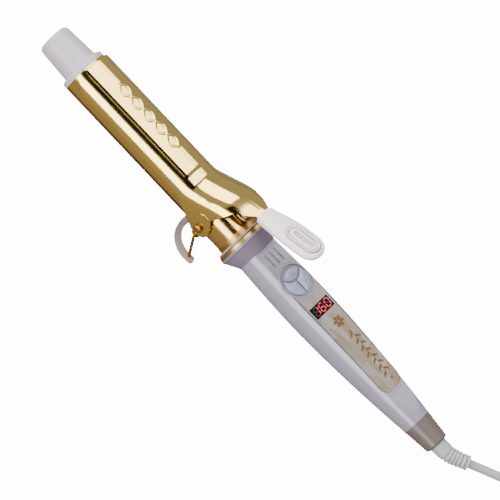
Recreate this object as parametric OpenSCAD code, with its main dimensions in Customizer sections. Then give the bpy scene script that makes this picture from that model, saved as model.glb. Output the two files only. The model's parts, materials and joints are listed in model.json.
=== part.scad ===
// Curling iron: heated barrel with a spring clip, a folding wire rest and a handle with digital controls.
// The iron is drawn level along X, tip first, and set on its rest by placed().
// Origin: on the table, under the middle of the rest's foot. +X runs to the cord, +Z up.

/* [Barrel] */
// Outer diameter of the heated barrel
barrel_d = 32; // [28:0.5:39]
// Wall of the barrel tube
barrel_wall = 1.1; // [0.8:0.1:1.5]
// Length of barrel that shows between the tip and the collar
barrel_len = 139.7; // [115:0.1:170]

/* [Cool tip] */
// Length of the tip in front of its flange
tip_len = 26.2; // [20:0.1:34]
// Diameter of the tip at its front
tip_d = 22.8; // [19:0.1:25]
// Thickness of the tip's flange
tip_flange_len = 4.1; // [3:0.1:6]

/* [Clip] */
// Air between the barrel and the closed clip
clip_gap = 1.1; // [0.8:0.1:1.6]
// Thickness of the clip's sheet
clip_t = 0.8; // [0.6:0.1:1.0]
// Half of the angle that the clip covers round the barrel
clip_half_angle = 72.7; // [60:0.1:85]
// Height of the clip's raised middle rib
rib_rise = 0.5; // [0.3:0.1:0.8]
// Length of the arm between the clip's crease and the thumb lever
arm_len = 44.1; // [38:0.1:50]
// How far the arm's crown climbs from the clip to the lever
arm_rise = 18.6; // [15:0.1:22]
// Radius of the hinge pins
pin_r = 1.6; // [1.2:0.1:2]

/* [Thumb lever] */
// Length of the thumb lever
lever_len = 45.1; // [38:0.1:54]
// Width of the thumb lever at its rounded end
lever_w = 19.6; // [16:0.1:23]

/* [Rest] */
// Radius of the rest's wire
wire_r = 1.1; // [0.9:0.1:1.4]
// Depth of the rest's pivot under the barrel's axis
rest_drop = 9.8; // [8.5:0.1:11.5]
// Width of the foot's band
foot_w = 4.4; // [3.6:0.1:5.4]
// Thickness of the foot's band
foot_t = 3.2; // [2.6:0.1:4]
// Depth of the foot's underside below the barrel's axis, at the middle of its arc
foot_depth = 35.9; // [32:0.1:43]

/* [Collar and guard] */
// Length of the gilt collar at the end of the barrel
collar_len = 3.2; // [2.6:0.1:4]
// Length of the guard's front rim
rim_len = 1.3; // [1:0.1:2]
// Length of the gilt trim ring
ring_len = 2.8; // [2:0.1:3.6]
// Length of the heat guard behind the ring
guard_len = 11.4; // [9:0.1:14]
// How far the guard stands out over the barrel
guard_rise = 4.2; // [3.4:0.1:5.2]

/* [Handle] */
// Length of the handle's shells
handle_len = 145.9; // [120:0.1:176]
// Radius of the handle at its neck
neck_r = 14.4; // [13.2:0.1:17]
// Radius of the handle at its widest
belly_r = 15.9; // [14.5:0.1:19.2]
// Radius of the handle where the end cap starts
tail_r = 10.1; // [9.2:0.1:12.2]
// Wall of the handle's shells
handle_wall = 2; // [1.5:0.1:2.4]
// Length of the end cap
cap_len = 19.4; // [16:0.1:24]

/* [Controls] */
// Radius of the dish round the buttons
dish_r = 12; // [11:0.1:13]
// Radius of the group of three buttons
button_group_r = 9.4; // [8.4:0.1:10]
// Travel of each button
button_travel = 0.6; // [0.4:0.1:0.8]
// Length of the control panel's plate past the dish
panel_len = 78.8; // [66:0.1:94]
// Length of the display window, along the handle
display_len = 8; // [7:0.1:10]
// Width of the display window, across the handle
display_w = 18; // [15:0.1:19]

/* [Hidden] */
$fn = 64;

// Gaps between pieces
slip = 0.1;                  // between fixed pieces that slide into each other
running = 0.06;              // round a pin that turns in its hole
side_gap = 0.4;              // between the bracket, the clip's ears and the rest's legs
key_gap = 0.25;              // round a button in its opening

// Places along the iron's axis, from the front of the tip
barrel_r = barrel_d / 2;
bore_r = barrel_r - barrel_wall;
x_barrel = tip_len + tip_flange_len;
x_collar = x_barrel + barrel_len;
x_rim = x_collar + collar_len;
x_ring = x_rim + rim_len;
x_guard = x_ring + ring_len;
x_neck = x_guard + guard_len;
x_tail = x_neck + handle_len;
x_end = x_tail + cap_len;

// Clip and hinge
clip_in = barrel_r + clip_gap;
clip_out = clip_in + clip_t;
clip_front = x_barrel + 1.3;
clip_corner = 13;            // length of the clip's rounded front corners
rib_angle = 33;              // half of the angle that the rib covers
hinge_x = x_collar - 18.4;
hinge_z = -1;
ear_r = 7.4;
x_crease = x_collar + 1.6 - arm_len;
bracket_t = 1;
bracket_in = barrel_r + 0.15;
bracket_out = bracket_in + bracket_t;
ear_in = bracket_out + side_gap;
ear_out = ear_in + clip_t;
pin_head_r = 3;
pin_head_len = 2.3;

// Rest
rest_x = x_collar - 17.4;    // the legs' pivot
leg_y = bracket_out + side_gap + wire_r;
foot_r = leg_y;              // centre line of the foot's arc
foot_x = x_collar - 28.7;    // middle of the foot's arc, along the level iron
foot_end = 2.4;              // straight ends of the foot, behind the arc
cap_corner = 1.6;
cap_end_r = 8.3;

// The table touches the foot's underside and the rounded edge of the end cap
edge_dx = x_end - cap_corner - foot_x;
edge_dz = foot_depth - (cap_end_r - cap_corner);
tilt = atan2(edge_dz, edge_dx) - asin(cap_corner / norm([edge_dx, edge_dz]));

// Inside the guard and the handle
sleeve_r = 11.5;             // outside of the collar's tail
wire_way_r = 8;              // hole through the collar for the leads
split_z = -5.5;              // where the handle's two shells meet
facet_share = 0.71;          // height of the top facet as a share of the handle's radius
dish_x = x_neck + 29.6;
dish_depth = 0.8;
flat_z = facet_share * 15.65 / 15.9 * belly_r;
panel_t = 0.8;
panel_end = dish_x + dish_r + panel_len;
display_x = dish_x + 22.7;
board_z = 3;
board_t = 1.6;
board_front = x_neck + 16.3;
board_back = panel_end - 9;
board_half = 8.4;
screw_spots = [x_neck + 9, x_tail - 15.6];
post_spots = [display_x + 11, board_back - 8];
screw_shank_r = 1.4;
screw_head_r = 2.7;

// Cord, in the frame of the table
cord_r = 3;
guard_route = [[224.5, 0.9, 6.7], [230.5, 3.1, 6.05], [237.5, 6.6, 5.5]];
lead_route = [[237.5, 6.6, 5.5], [243, 9.4, 4.8], [249, 12.4, 4.2], [256, 15.7, 3.7], [264, 19, 3.3],
    [273, 22.3, 3.1], [283, 25.6, 3.2], [293, 28, 3.5], [305, 29, 3.8]];
tail_route = [[305, 23, 15.8], [313, 22.2, 15.8], [321, 19.2, 15], [328, 14.4, 13.2], [335, 9.2, 11],
    [342, 6, 9.3], [350, 5, 8.5]];
hank_at = [305, 5];          // centre of the hank's near fold
hank_run = 100;              // between the centres of its two folds
hank_in_r = 15;
hank_out_r = 27;
hank_z = 0.8;
hank_h = 18;
tie_t = 0.8;
tie_w = 10;
plug_at = [350, 5, 8.5];

// ---------- helpers ----------

// Radius of the handle at a place along the iron
function handle_r(x) =
    let (u = (x - x_neck) / handle_len, peak = 0.345)
    u < peak ? neck_r + (belly_r - neck_r) * sin(90 * max(u, 0) / peak)
             : belly_r - (belly_r - tail_r) * pow((u - peak) / (1 - peak), 1.7);

// Height of the flat facet on the handle: level round the buttons, then down with the handle, and out past the panel
function facet_z(x) =
    x < dish_x - 14 ? facet_share * handle_r(x) + (flat_z - facet_share * handle_r(dish_x - 14)) :
    x < dish_x + 16 ? flat_z :
    x < panel_end ? min(flat_z, facet_share * handle_r(x)) :
    facet_z(panel_end - 0.01) + (handle_r(x_tail) + 1 - facet_z(panel_end - 0.01)) * (x - panel_end) / (x_tail - panel_end);

// Height of the clip arm's crown over the barrel's axis
function crown(x) =
    let (u = max(0, (x - x_crease) / arm_len))
    clip_out + arm_rise * lookup(u, [[0, 0], [0.1, 0.035], [0.31, 0.3], [0.455, 0.51], [0.6, 0.7], [0.735, 0.82], [1, 1]]);

// A point of the level iron, in the frame of the table
function on_table(p) =
    let (dx = p[0] - foot_x, dz = p[2] + foot_depth)
    [dx * cos(tilt) + dz * sin(tilt), p[1], -dx * sin(tilt) + dz * cos(tilt)];

// A smooth run of points through the given ones
function smooth(p, steps) = [
    for (i = [0 : len(p) - 2], k = [0 : steps - 1])
        let (a = p[max(i - 1, 0)], b = p[i], c = p[i + 1], d = p[min(i + 2, len(p) - 1)], t = k / steps)
        0.5 * (2 * b + (c - a) * t + (2 * a - 5 * b + 4 * c - d) * t * t + (3 * b - a - 3 * c + d) * t * t * t),
    p[len(p) - 1]
];

// Faces that close a stack of rings, each with the same number of points
function skin_faces(rings, sides) = concat(
    [[for (j = [0 : sides - 1]) j]],
    [for (i = [0 : rings - 2], j = [0 : sides - 1])
        [i * sides + j, (i + 1) * sides + j, (i + 1) * sides + (j + 1) % sides, i * sides + (j + 1) % sides]],
    [[for (j = [sides - 1 : -1 : 0]) (rings - 1) * sides + j]]
);

// Faces that close a stack of sheet sections: each lists n points outside, then n back along the inside
function sheet_faces(rings, n) = concat(
    [for (j = [0 : n - 2]) [2 * n - 1 - j, 2 * n - 2 - j, j + 1, j]],
    [for (i = [0 : rings - 2], j = [0 : 2 * n - 1])
        [i * 2 * n + j, i * 2 * n + (j + 1) % (2 * n), (i + 1) * 2 * n + (j + 1) % (2 * n), (i + 1) * 2 * n + j]],
    [for (j = [0 : n - 2]) let (b = (rings - 1) * 2 * n) [b + j, b + j + 1, b + 2 * n - 2 - j, b + 2 * n - 1 - j]]
);

// Round tube along a run of points, with a radius for each; the run never points along ref
module tube(p, radii, sides, ref = [0, 0, 1]) {
    points = [
        for (i = [0 : len(p) - 1])
            let (ahead = p[min(i + 1, len(p) - 1)] - p[max(i - 1, 0)],
                 t = ahead / norm(ahead),
                 across = cross(ref, t) / norm(cross(ref, t)),
                 up = cross(t, across))
            for (j = [0 : sides - 1])
                p[i] + radii[i] * (cos(360 * j / sides) * across + sin(360 * j / sides) * up)
    ];
    polyhedron(points, skin_faces(len(p), sides), convexity = 6);
}

// Solid turned about the iron's axis from points [radius, place along the axis]
module turned(points) {
    rotate([0, 90, 0]) rotate_extrude() polygon(points);
}

// Cylinder along the iron's axis
module rod(x0, x1, r) {
    translate([x0, 0, 0]) rotate([0, 90, 0]) cylinder(h = x1 - x0, r = r);
}

// Cylinder across the iron, between two distances to one side
module cross_rod(x, z, side, y0, y1, r) {
    translate([x, side * y0, z]) rotate([-90 * side, 0, 0]) cylinder(h = y1 - y0, r = r);
}

// Prism across the iron from points [x, z]
module side_prism(points, w) {
    rotate([90, 0, 0]) linear_extrude(w, center = true) polygon(points);
}

// Rounded quarter of an outline, from a front face to the side: [radius, place]
function front_corner(r, x, c) = [for (a = [0 : 15 : 90]) [r - c + c * sin(a), x + c - c * cos(a)]];

// Rounded quarter of an outline, from the side to a back face
function back_corner(r, x, c) = [for (a = [0 : 15 : 90]) [r - c + c * cos(a), x - c + c * sin(a)]];

// The iron leans back on its rest
module placed() {
    rotate([0, tilt, 0]) translate([-foot_x, 0, foot_depth]) children();
}

// ---------- tip, barrel and heater ----------

module cool_tip() {
    tip_r = tip_d / 2;
    cavity_r = tip_r - 2.4;
    color([0.93, 0.89, 0.89]) turned(concat(
        [[0, 0]], front_corner(tip_r, 0, 3.5), [[tip_r + 1.3, tip_len]],
        front_corner(barrel_r - 0.1, tip_len, 1.8),
        [[barrel_r - 0.1, x_barrel], [bore_r - slip, x_barrel], [bore_r - slip, x_barrel + 8],
         [cavity_r, x_barrel + 8], [cavity_r, 4], [0, 4]]));
}

module barrel() {
    color([0.88, 0.77, 0.5]) difference() {
        rod(x_barrel, x_collar, barrel_r);
        rod(x_barrel - 1, x_collar + 1, bore_r);
    }
}

heater_front = x_barrel + 12;
heater_back = x_collar - 20;
slot_half_w = 8;
slot_half_h = 1.6;

// One of the two aluminium half rounds that press the heating element to the barrel
module heater_half(side) {
    color([0.75, 0.76, 0.78]) difference() {
        rod(heater_front, heater_back, bore_r - 0.3);
        translate([heater_front - 1, -slot_half_w, -slot_half_h])
            cube([heater_back - heater_front + 2, 2 * slot_half_w, 2 * slot_half_h]);
        translate([heater_front - 1, -barrel_r, side > 0 ? -barrel_r * 2 + 0.2 : -0.2])
            cube([heater_back - heater_front + 2, barrel_d, barrel_d]);
    }
}

module insulation_sleeve() {
    color([0.85, 0.6, 0.2]) difference() {
        translate([heater_front + 2, 0.05 - slot_half_w, 0.05 - slot_half_h])
            cube([heater_back - heater_front - 4, 2 * slot_half_w - 0.1, 2 * slot_half_h - 0.1]);
        translate([heater_front + 1, 0.35 - slot_half_w, 0.35 - slot_half_h])
            cube([heater_back - heater_front - 2, 2 * slot_half_w - 0.7, 2 * slot_half_h - 0.7]);
    }
}

module ceramic_element() {
    color([0.9, 0.9, 0.86]) translate([heater_front + 8, 0.5 - slot_half_w, 0.45 - slot_half_h])
        cube([heater_back - heater_front - 16, 2 * slot_half_w - 1, 2 * slot_half_h - 0.9]);
}

module thermal_fuse() {
    color([0.8, 0.8, 0.82]) translate([0, 0, 5]) rod(heater_back + 4, heater_back + 15, 2);
}

module temperature_sensor() {
    color([0.2, 0.2, 0.2]) translate([0, 0, 0]) rod(heater_back + 1, heater_back + 6, 1.2);
}

// Two insulated leads from the heater to the underside of the board
module heater_leads() {
    lead_r = 0.9;
    lead_back = board_front + 3;
    color([0.9, 0.9, 0.9]) for (y = [-4, 4]) translate([0, y, -1]) {
        rod(heater_back + 1, lead_back, lead_r);
        translate([lead_back, 0, 0]) sphere(lead_r);
        translate([lead_back, 0, 0]) cylinder(h = board_z + 1, r = lead_r);
    }
}

// ---------- collar and guard ----------

module collar() {
    color([0.72, 0.6, 0.36]) difference() {
        turned([
            [wire_way_r, x_collar - 9], [bore_r - slip, x_collar - 9], [bore_r - slip, x_collar],
            [barrel_r + 0.35, x_collar], [barrel_r + 0.35, x_rim], [sleeve_r, x_rim], [sleeve_r, x_neck + 5],
            [wire_way_r, x_neck + 5]]);
        facet_clearance();
    }
}

// Room for the underside of the handle's flat top, over what reaches into the handle
module facet_clearance() {
    translate([x_neck, -barrel_r, facet_z(x_neck) - handle_wall - 3 * slip]) cube([2 * sleeve_r, barrel_d, barrel_d]);
}

module guard_rim() {
    color([0.82, 0.8, 0.88]) turned(concat([[sleeve_r, x_rim]],
        front_corner(barrel_r + guard_rise - 1.2, x_rim, 1), [[barrel_r + guard_rise - 1.2, x_ring], [sleeve_r, x_ring]]));
}

module trim_ring() {
    color([0.8, 0.66, 0.38]) turned([
        [sleeve_r, x_ring], [barrel_r + guard_rise - 1, x_ring], [barrel_r + guard_rise - 0.4, x_ring + ring_len * 0.3],
        [barrel_r + guard_rise - 0.2, x_guard], [sleeve_r, x_guard]]);
}

module heat_guard() {
    color([0.75, 0.72, 0.8]) difference() {
        turned(concat([[sleeve_r, x_guard], [barrel_r + guard_rise - 0.3, x_guard]],
            back_corner(barrel_r + guard_rise, x_guard + 2.2, 0.8),
            [[neck_r, x_neck], [neck_r - handle_wall - slip, x_neck], [neck_r - handle_wall - slip, x_neck + 4],
             [sleeve_r, x_neck + 4]]));
        facet_clearance();
    }
}

// ---------- clip, hinge and lever ----------

// Bracket under the barrel: a half strap and a cheek on each side that carries the clip's pin and the rest's leg
module hinge_bracket() {
    color([0.8, 0.66, 0.38]) difference() {
        union() {
            intersection() {
                difference() {
                    rod(hinge_x - 5, hinge_x + 6, barrel_r + bracket_t);
                    rod(hinge_x - 6, hinge_x + 7, barrel_r);
                }
                translate([hinge_x - 8, -2 * barrel_r, -2 * barrel_r + 3]) cube([20, 4 * barrel_r, 2 * barrel_r]);
            }
            for (side = [-1, 1]) {
                cross_rod(hinge_x, hinge_z, side, bracket_in, bracket_out, 6.6);
                cross_rod(rest_x, -rest_drop, side, bracket_in, bracket_out, 3.1);
                translate([rest_x - 3, side * (bracket_in + bracket_t / 2) - bracket_t / 2, -rest_drop])
                    cube([6, bracket_t, rest_drop + hinge_z]);
            }
        }
        for (side = [-1, 1]) {
            cross_rod(hinge_x, hinge_z, side, barrel_r - 4, barrel_r + 4, pin_r);
            cross_rod(rest_x, -rest_drop, side, barrel_r - 4, barrel_r + 4, wire_r + running);
        }
        rod(hinge_x - 10, hinge_x + 12, barrel_r);
    }
}

// One of the two short pins: pressed into the bracket's cheek, with a domed head outside the clip's ear
module hinge_pin(side) {
    head = ear_out + 0.3;
    color([0.75, 0.6, 0.33]) {
        cross_rod(hinge_x, hinge_z, side, bracket_in, head + 0.5, pin_r);
        translate([hinge_x, side * head, hinge_z]) rotate([-90 * side, 0, 0]) rotate_extrude()
            polygon(concat([[0, 0], [pin_head_r, 0]],
                [for (a = [0 : 15 : 90]) [pin_head_r - 1 + cos(a), pin_head_len - 1 + sin(a)]], [[0, pin_head_len]]));
    }
}

// Radius of the sheet's arch at a place along the iron: the trough, then widening to pass outside the ears' bracket
function arch_r(x) = clip_out + (ear_out - clip_out) * min(1, max(0, (x - x_crease) / 14));

// Height of the arm's lower edge behind the crease
function arm_edge_z(x) =
    lookup(x - hinge_x, [[x_crease - hinge_x, clip_out * cos(clip_half_angle)], [-18, 2], [-12.6, -1.5], [-8, -4.5],
        [-4, -6.5], [0.8, -6.5], [2.4, 14], [8.6, crown(hinge_x + 8.6) - 4.8], [20, crown(hinge_x + 20) - 0.9]]);

// Length of the sheet from its crown to its edge, round the arch and then straight down
function sheet_reach(x) =
    let (arch = arch_r(x), centre = crown(x) - arch, edge = arm_edge_z(x),
         trough = clip_out * clip_half_angle * PI / 180, front = clip_out * rib_angle * PI / 180,
         u = (clip_front + clip_corner - x) / clip_corner)
    u > 0 ? front + (trough - front) * sqrt(max(0, 1 - u * u)) :
    x < x_crease ? trough :
    edge > centre ? acos((edge - centre) / arch) * PI / 180 * arch : arch * PI / 2 + centre - edge;

// A point of one section of the sheet: way is -1 at the left edge, 0 at the crown and 1 at the right edge
sheet_sides = 20;
function sheet_point(x, way, r) =
    let (arch = arch_r(x), centre = crown(x) - arch, run = abs(way) * sheet_reach(x), quarter = arch * PI / 2,
         side = way < 0 ? -1 : 1)
    run < quarter
        ? [x, side * r * sin(run / arch * 180 / PI), centre + r * cos(run / arch * 180 / PI)]
        : [x, side * r, centre - (run - quarter)];
function sheet_section(x) = concat(
    [for (i = [-sheet_sides : sheet_sides]) sheet_point(x, i / sheet_sides, arch_r(x))],
    [for (i = [sheet_sides : -1 : -sheet_sides]) sheet_point(x, i / sheet_sides, arch_r(x) - clip_t)]);

// The trough over the barrel and the arm behind it, as one formed sheet
module clip_sheet() {
    places = concat([for (a = [0 : 15 : 90]) clip_front + clip_corner * (1 - cos(a))],
        [for (u = [0 : 3.5 : 24.1]) x_crease + u],
        [for (u = [0.8, 2.4, 5.5, 8.6, 12, 16, 21]) hinge_x + u]);
    polyhedron([for (x = places) each sheet_section(x)], sheet_faces(len(places), 2 * sheet_sides + 1), convexity = 8);
}

// The ears stand a little proud of the sheet on both faces, as coined bosses round the pins
ear_proud = 0.1;
module clip_ears() {
    for (side = [-1, 1]) {
        cross_rod(hinge_x, hinge_z, side, ear_in - ear_proud, ear_out + ear_proud, ear_r);
        translate([0, side * (ear_in + clip_t / 2), 0]) side_prism([
            [hinge_x - 10, -1], [hinge_x - 7, 9], [hinge_x + 2.2, 13.5], [hinge_x + ear_r, hinge_z + 1],
            [hinge_x, hinge_z]], clip_t + 2 * ear_proud);
    }
}

// Part of a ring round the barrel's axis, about the top
module arch_ring(x0, x1, r_in, r_out, half_angle) {
    rotate([0, 90, 0]) rotate([0, 0, 180 - half_angle]) rotate_extrude(angle = 2 * half_angle)
        translate([r_in, x0]) square([r_out - r_in, x1 - x0]);
}

module clip_plate() {
    color([0.9, 0.8, 0.55]) difference() {
        union() {
            clip_sheet();
            arch_ring(clip_front + 0.4, x_crease - 3, clip_out - 0.3, clip_out + rib_rise, rib_angle);
            clip_ears();
            lever_frame() translate([-3, -4, -clip_t + 0.05]) cube([20, 8, clip_t]);
        }
        for (side = [-1, 1]) cross_rod(hinge_x, hinge_z, side, bracket_out, ear_out + 2, pin_r + running);
        lever_frame() for (x = rivet_spots) translate([x, 0, -3]) cylinder(h = 6, r = rivet_r);
    }
}

// Torsion spring under the arm: a coil across the iron, one leg on the barrel and one under the arm
spring_x = x_collar - 4.2;
spring_z = barrel_r + 6.4;
spring_coil_r = 3.9;
spring_wire_r = 0.6;
module clip_spring() {
    turns = 4.5;
    half_w = turns * spring_wire_r * 1.15;
    coil = [for (i = [0 : turns * 12])
        [spring_x + spring_coil_r * sin(30 * i), -half_w + 2 * half_w * i / (turns * 12),
         spring_z - spring_coil_r * cos(30 * i)]];
    low_leg = [[spring_x - 14, -half_w, barrel_r + 1], [spring_x - 7, -half_w, spring_z - spring_coil_r - 0.6]];
    high_leg = [[spring_x - 5, half_w, spring_z + spring_coil_r + 0.5], [spring_x - 12, half_w, spring_z + spring_coil_r - 0.5]];
    run = concat(low_leg, coil, high_leg);
    color([0.55, 0.5, 0.42]) tube(run, [for (p = run) spring_wire_r], 8, [0, 1, 0]);
}

// Frame of the thumb lever: its origin where the arm's crown enters it, X up along the lever
x_lever = x_collar + 1.6;
lever_slope = 19;
rivet_spots = [5, 12];
rivet_r = 1.2;
module lever_frame() {
    translate([x_lever, 0, crown(x_lever)]) rotate([0, -lever_slope, 0]) children();
}

module thumb_lever() {
    end_r = lever_w / 2;
    end_x = lever_len * 1.045 - end_r;
    color([0.93, 0.9, 0.88]) difference() {
        hull() {
            for (side = [-1, 1]) {
                lever_frame() translate([3, side * 4.2, -2.1]) sphere(2.6, $fn = 32);
                lever_frame() translate([2.2, side * 4.2, -4.4]) sphere(2.6, $fn = 32);
                lever_frame() translate([lever_len * 0.5, side * (end_r - 2.2), -2.4]) sphere(2.8, $fn = 32);
            }
            lever_frame() translate([end_x, 0, -3.1]) rotate([0, 4, 0]) rotate_extrude($fn = 32)
                polygon(concat([[0, -2.9], [end_r - 2.4, -2.9]],
                    [for (a = [-75 : 15 : 75]) [end_r - 2.4 + 2.4 * cos(a), 2.9 / 2.4 * 2.4 * sin(a)]],
                    [[end_r - 2.4, 2.9], [0, 2.9]]));
        }
        lever_frame() translate([-3, -4 - slip, -clip_t - slip + 0.05]) cube([20 + slip, 8 + 2 * slip, clip_t + 2 * slip]);
        intersection() {
            clip_out_cut();
            translate([x_lever - 3, -barrel_r, 0]) cube([6, barrel_d, 4 * barrel_r]);
        }
        lever_frame() for (x = rivet_spots) translate([x, 0, -9]) {
            cylinder(h = 9.5, r = rivet_r);
            cylinder(h = 4.6, r = 2.3);
        }
    }
}

// Room for the end of the arm's arch inside the lever
module clip_out_cut() {
    hull() for (u = [0, 3]) translate([x_lever - 1 + u, 0, crown(x_lever - 1 + u) - arch_r(x_lever)])
        rotate([0, 90, 0]) rotate([0, 0, 180 - 20]) rotate_extrude(angle = 40, $fn = 64)
            translate([arch_r(x_lever) - clip_t - 0.4, 0]) square([clip_t + 0.6, 0.1]);
}

module lever_rivets() {
    color([0.7, 0.7, 0.7]) lever_frame() for (x = rivet_spots) translate([x, 0, 0]) {
        translate([0, 0, -4.4]) cylinder(h = 4.8, r = rivet_r);
        translate([0, 0, -5.4]) cylinder(h = 1, r = 2.2);
    }
}

// ---------- rest ----------

// Where a leg starts under the bracket and where it ends in the foot, seen from the side
leg_top = on_table([rest_x, 0, -rest_drop]);
leg_foot = [foot_r + foot_end - 1.6, foot_t * 0.35];
leg_len = norm([leg_top[0] - leg_foot[0], leg_top[2] - leg_foot[1]]);
leg_lean = atan2(leg_foot[0] - leg_top[0], leg_top[2] - leg_foot[1]);

module leg_wire(side) {
    translate([leg_top[0], side * leg_y, leg_top[2]]) rotate([0, 180 - leg_lean, 0]) cylinder(h = leg_len, r = wire_r);
}

// One wire leg: a short axle in the bracket's cheek, an elbow and the leg down into the foot
module rest_leg(side) {
    color([0.8, 0.66, 0.4]) {
        translate([leg_top[0], side * leg_y, leg_top[2]]) {
            rotate([90 * side, 0, 0]) cylinder(h = leg_y - bracket_in + 0.6, r = wire_r);
            sphere(wire_r + 0.03);
        }
        leg_wire(side);
    }
}

// U-shaped plastic foot that lies flat on the table
module rest_foot() {
    color([0.66, 0.6, 0.56]) difference() {
        linear_extrude(foot_t) {
            difference() {
                union() {
                    translate([foot_r, 0]) circle(r = foot_r + foot_w / 2);
                    translate([foot_r, -foot_r - foot_w / 2]) square([foot_end, 2 * foot_r + foot_w]);
                }
                translate([foot_r, 0]) circle(r = foot_r - foot_w / 2);
                translate([foot_r, foot_w / 2 - foot_r]) square([3 * foot_r, 2 * foot_r - foot_w]);
                translate([foot_r + foot_end, -2 * foot_r]) square([3 * foot_r, 4 * foot_r]);
            }
            for (side = [-1, 1]) translate([foot_r + foot_end, side * foot_r]) circle(r = foot_w / 2);
        }
        leg_wire(-1);
        leg_wire(1);
    }
}

// ---------- handle ----------

stations = 26;
function handle_place(i) = x_neck + handle_len * i / stations;

module handle_form(inset) {
    intersection() {
        turned(concat([[0, x_neck - (inset > 0 ? 1 : 0)]],
            [for (i = [0 : stations]) [handle_r(handle_place(i)) - inset,
                handle_place(i) + (inset > 0 ? (i == 0 ? -1 : i == stations ? 1 : 0) : 0)]],
            [[0, x_tail + (inset > 0 ? 1 : 0)]]));
        side_prism(concat([[x_neck - 2, -barrel_d]],
            [for (i = [0 : stations]) [handle_place(i) + (i == 0 ? -2 : i == stations ? 2 : 0),
                facet_z(handle_place(i)) - inset]],
            [[x_tail + 2, -barrel_d]]), 2 * barrel_d);
    }
}

module half_space(up) {
    translate([x_neck - 5, -barrel_d, up ? split_z : split_z - 2 * barrel_d])
        cube([handle_len + 10, 2 * barrel_d, 2 * barrel_d]);
}

module handle_upper() {
    color([0.8, 0.78, 0.84]) difference() {
        union() {
            intersection() {
                difference() {
                    handle_form(0);
                    handle_form(handle_wall);
                }
                half_space(true);
            }
            for (x = screw_spots) translate([x, 0, split_z])
                cylinder(h = facet_z(x) - split_z - handle_wall / 2, r = 3.2);
            for (x = post_spots) translate([x, 0, board_z + board_t])
                cylinder(h = facet_z(x) - board_z - board_t - handle_wall / 2, r = 2.2);
        }
        for (x = screw_spots) translate([x, 0, split_z - 1]) cylinder(h = 9, r = screw_shank_r);
        for (x = post_spots) translate([x, 0, board_z]) cylinder(h = 4.6, r = 0.9);
        translate([dish_x, 0, flat_z - dish_depth]) cylinder(h = 4, r = dish_r);
        translate([dish_x, 0, flat_z - 6]) linear_extrude(8) {
            power_outline(key_gap);
            plus_outline(key_gap);
            mirror([0, 1]) plus_outline(key_gap);
        }
        panel_slab(-panel_t - 0.05, 3, 0.1);
        translate([display_x - display_len / 2 + 0.6, -display_w / 2 + 0.6, 0]) cube([display_len - 1.2, display_w - 1.2, 20]);
        for (y = [-4.5, 0, 4.5]) translate([x_neck + 4, y - 0.6, facet_z(x_neck + 4) - 0.5]) cube([10, 1.2, 4]);
    }
}

module handle_lower() {
    color([0.77, 0.75, 0.81]) difference() {
        union() {
            intersection() {
                difference() {
                    handle_form(0);
                    handle_form(handle_wall);
                }
                half_space(false);
            }
            for (x = screw_spots) intersection() {
                translate([x, 0, -barrel_r]) cylinder(h = barrel_r + split_z, r = 3.9);
                handle_form(0);
            }
        }
        for (x = screw_spots) {
            translate([x, 0, -barrel_d]) cylinder(h = barrel_d, r = screw_shank_r + 0.15);
            translate([x, 0, -barrel_d]) cylinder(h = barrel_d - handle_r(x) + 3.4, r = screw_head_r + 0.2);
        }
    }
}

module handle_screws() {
    color([0.6, 0.6, 0.62]) for (x = screw_spots) translate([x, 0, -handle_r(x) + 3.4]) difference() {
        union() {
            translate([0, 0, -1.6]) cylinder(h = 1.6, r = screw_head_r);
            translate([0, 0, -0.1]) cylinder(h = handle_r(x) + split_z + 4, r = screw_shank_r);
        }
        for (a = [0, 90]) rotate([0, 0, a]) translate([-1.6, -0.3, -2]) cube([3.2, 0.6, 1.2]);
    }
}

// ---------- controls ----------

lens_at = -9.9;              // centre of the circle that closes the power button's lens
lens_r = 8.2;
web = 0.9;                   // between the buttons

module power_outline(grow) {
    intersection() {
        circle(r = button_group_r + grow);
        translate([lens_at, 0]) circle(r = lens_r + grow);
    }
}

module plus_outline(grow, rim = 0) {
    difference() {
        circle(r = button_group_r + grow + rim);
        translate([lens_at, 0]) circle(r = lens_r + web - grow);
        translate([-2 * dish_r, web / 2 - grow - 4 * dish_r]) square([4 * dish_r, 4 * dish_r]);
        translate([-2 * dish_r, -dish_r]) square([2 * dish_r + lens_at, 2 * dish_r]);
    }
}

// Body of a button: its key, a lip under the shell and a stem over its switch
module button_body(stem) {
    top = flat_z + 0.25;
    lip_top = flat_z - handle_wall - 0.15;
    color([0.78, 0.8, 0.88]) translate([dish_x, 0, 0]) {
        translate([0, 0, lip_top - 0.1]) linear_extrude(top - lip_top + 0.1) children(0);
        translate([0, 0, lip_top - 0.8]) linear_extrude(0.8) children(1);
        translate([stem[0], stem[1], stem_z]) cylinder(h = lip_top - stem_z - 0.4, r = 1.3);
    }
}
switch_h = 2.2;
stem_z = board_z + board_t + switch_h + button_travel + 0.15;
power_stem = [-5.9, 0];
plus_stem = [3.4, 4.6];

module power_button() {
    button_body(power_stem) {
        power_outline(0);
        intersection() {
            circle(r = button_group_r + 0.8);
            translate([lens_at, 0]) circle(r = lens_r);
        }
    }
}

module plus_button() {
    button_body(plus_stem) {
        plus_outline(0);
        plus_outline(0, 0.8);
    }
}

module minus_button() {
    mirror([0, 1, 0]) plus_button();
}

// Outline of the control panel, seen from above
module panel_outline(grow) {
    end_r = 6.4;
    x0 = dish_x + 3;
    difference() {
        union() {
            polygon([[x0, -11 - grow], [panel_end - end_r, -9.4 - grow], [panel_end - end_r, 9.4 + grow], [x0, 11 + grow]]);
            for (side = [-1, 1]) translate([panel_end - end_r, side * (9.4 - end_r)]) circle(r = end_r + grow);
            translate([panel_end - end_r, -9.4 + end_r]) square([end_r + grow, 2 * (9.4 - end_r)]);
        }
        translate([dish_x, 0]) circle(r = dish_r + 0.5 - grow);
    }
}

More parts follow.
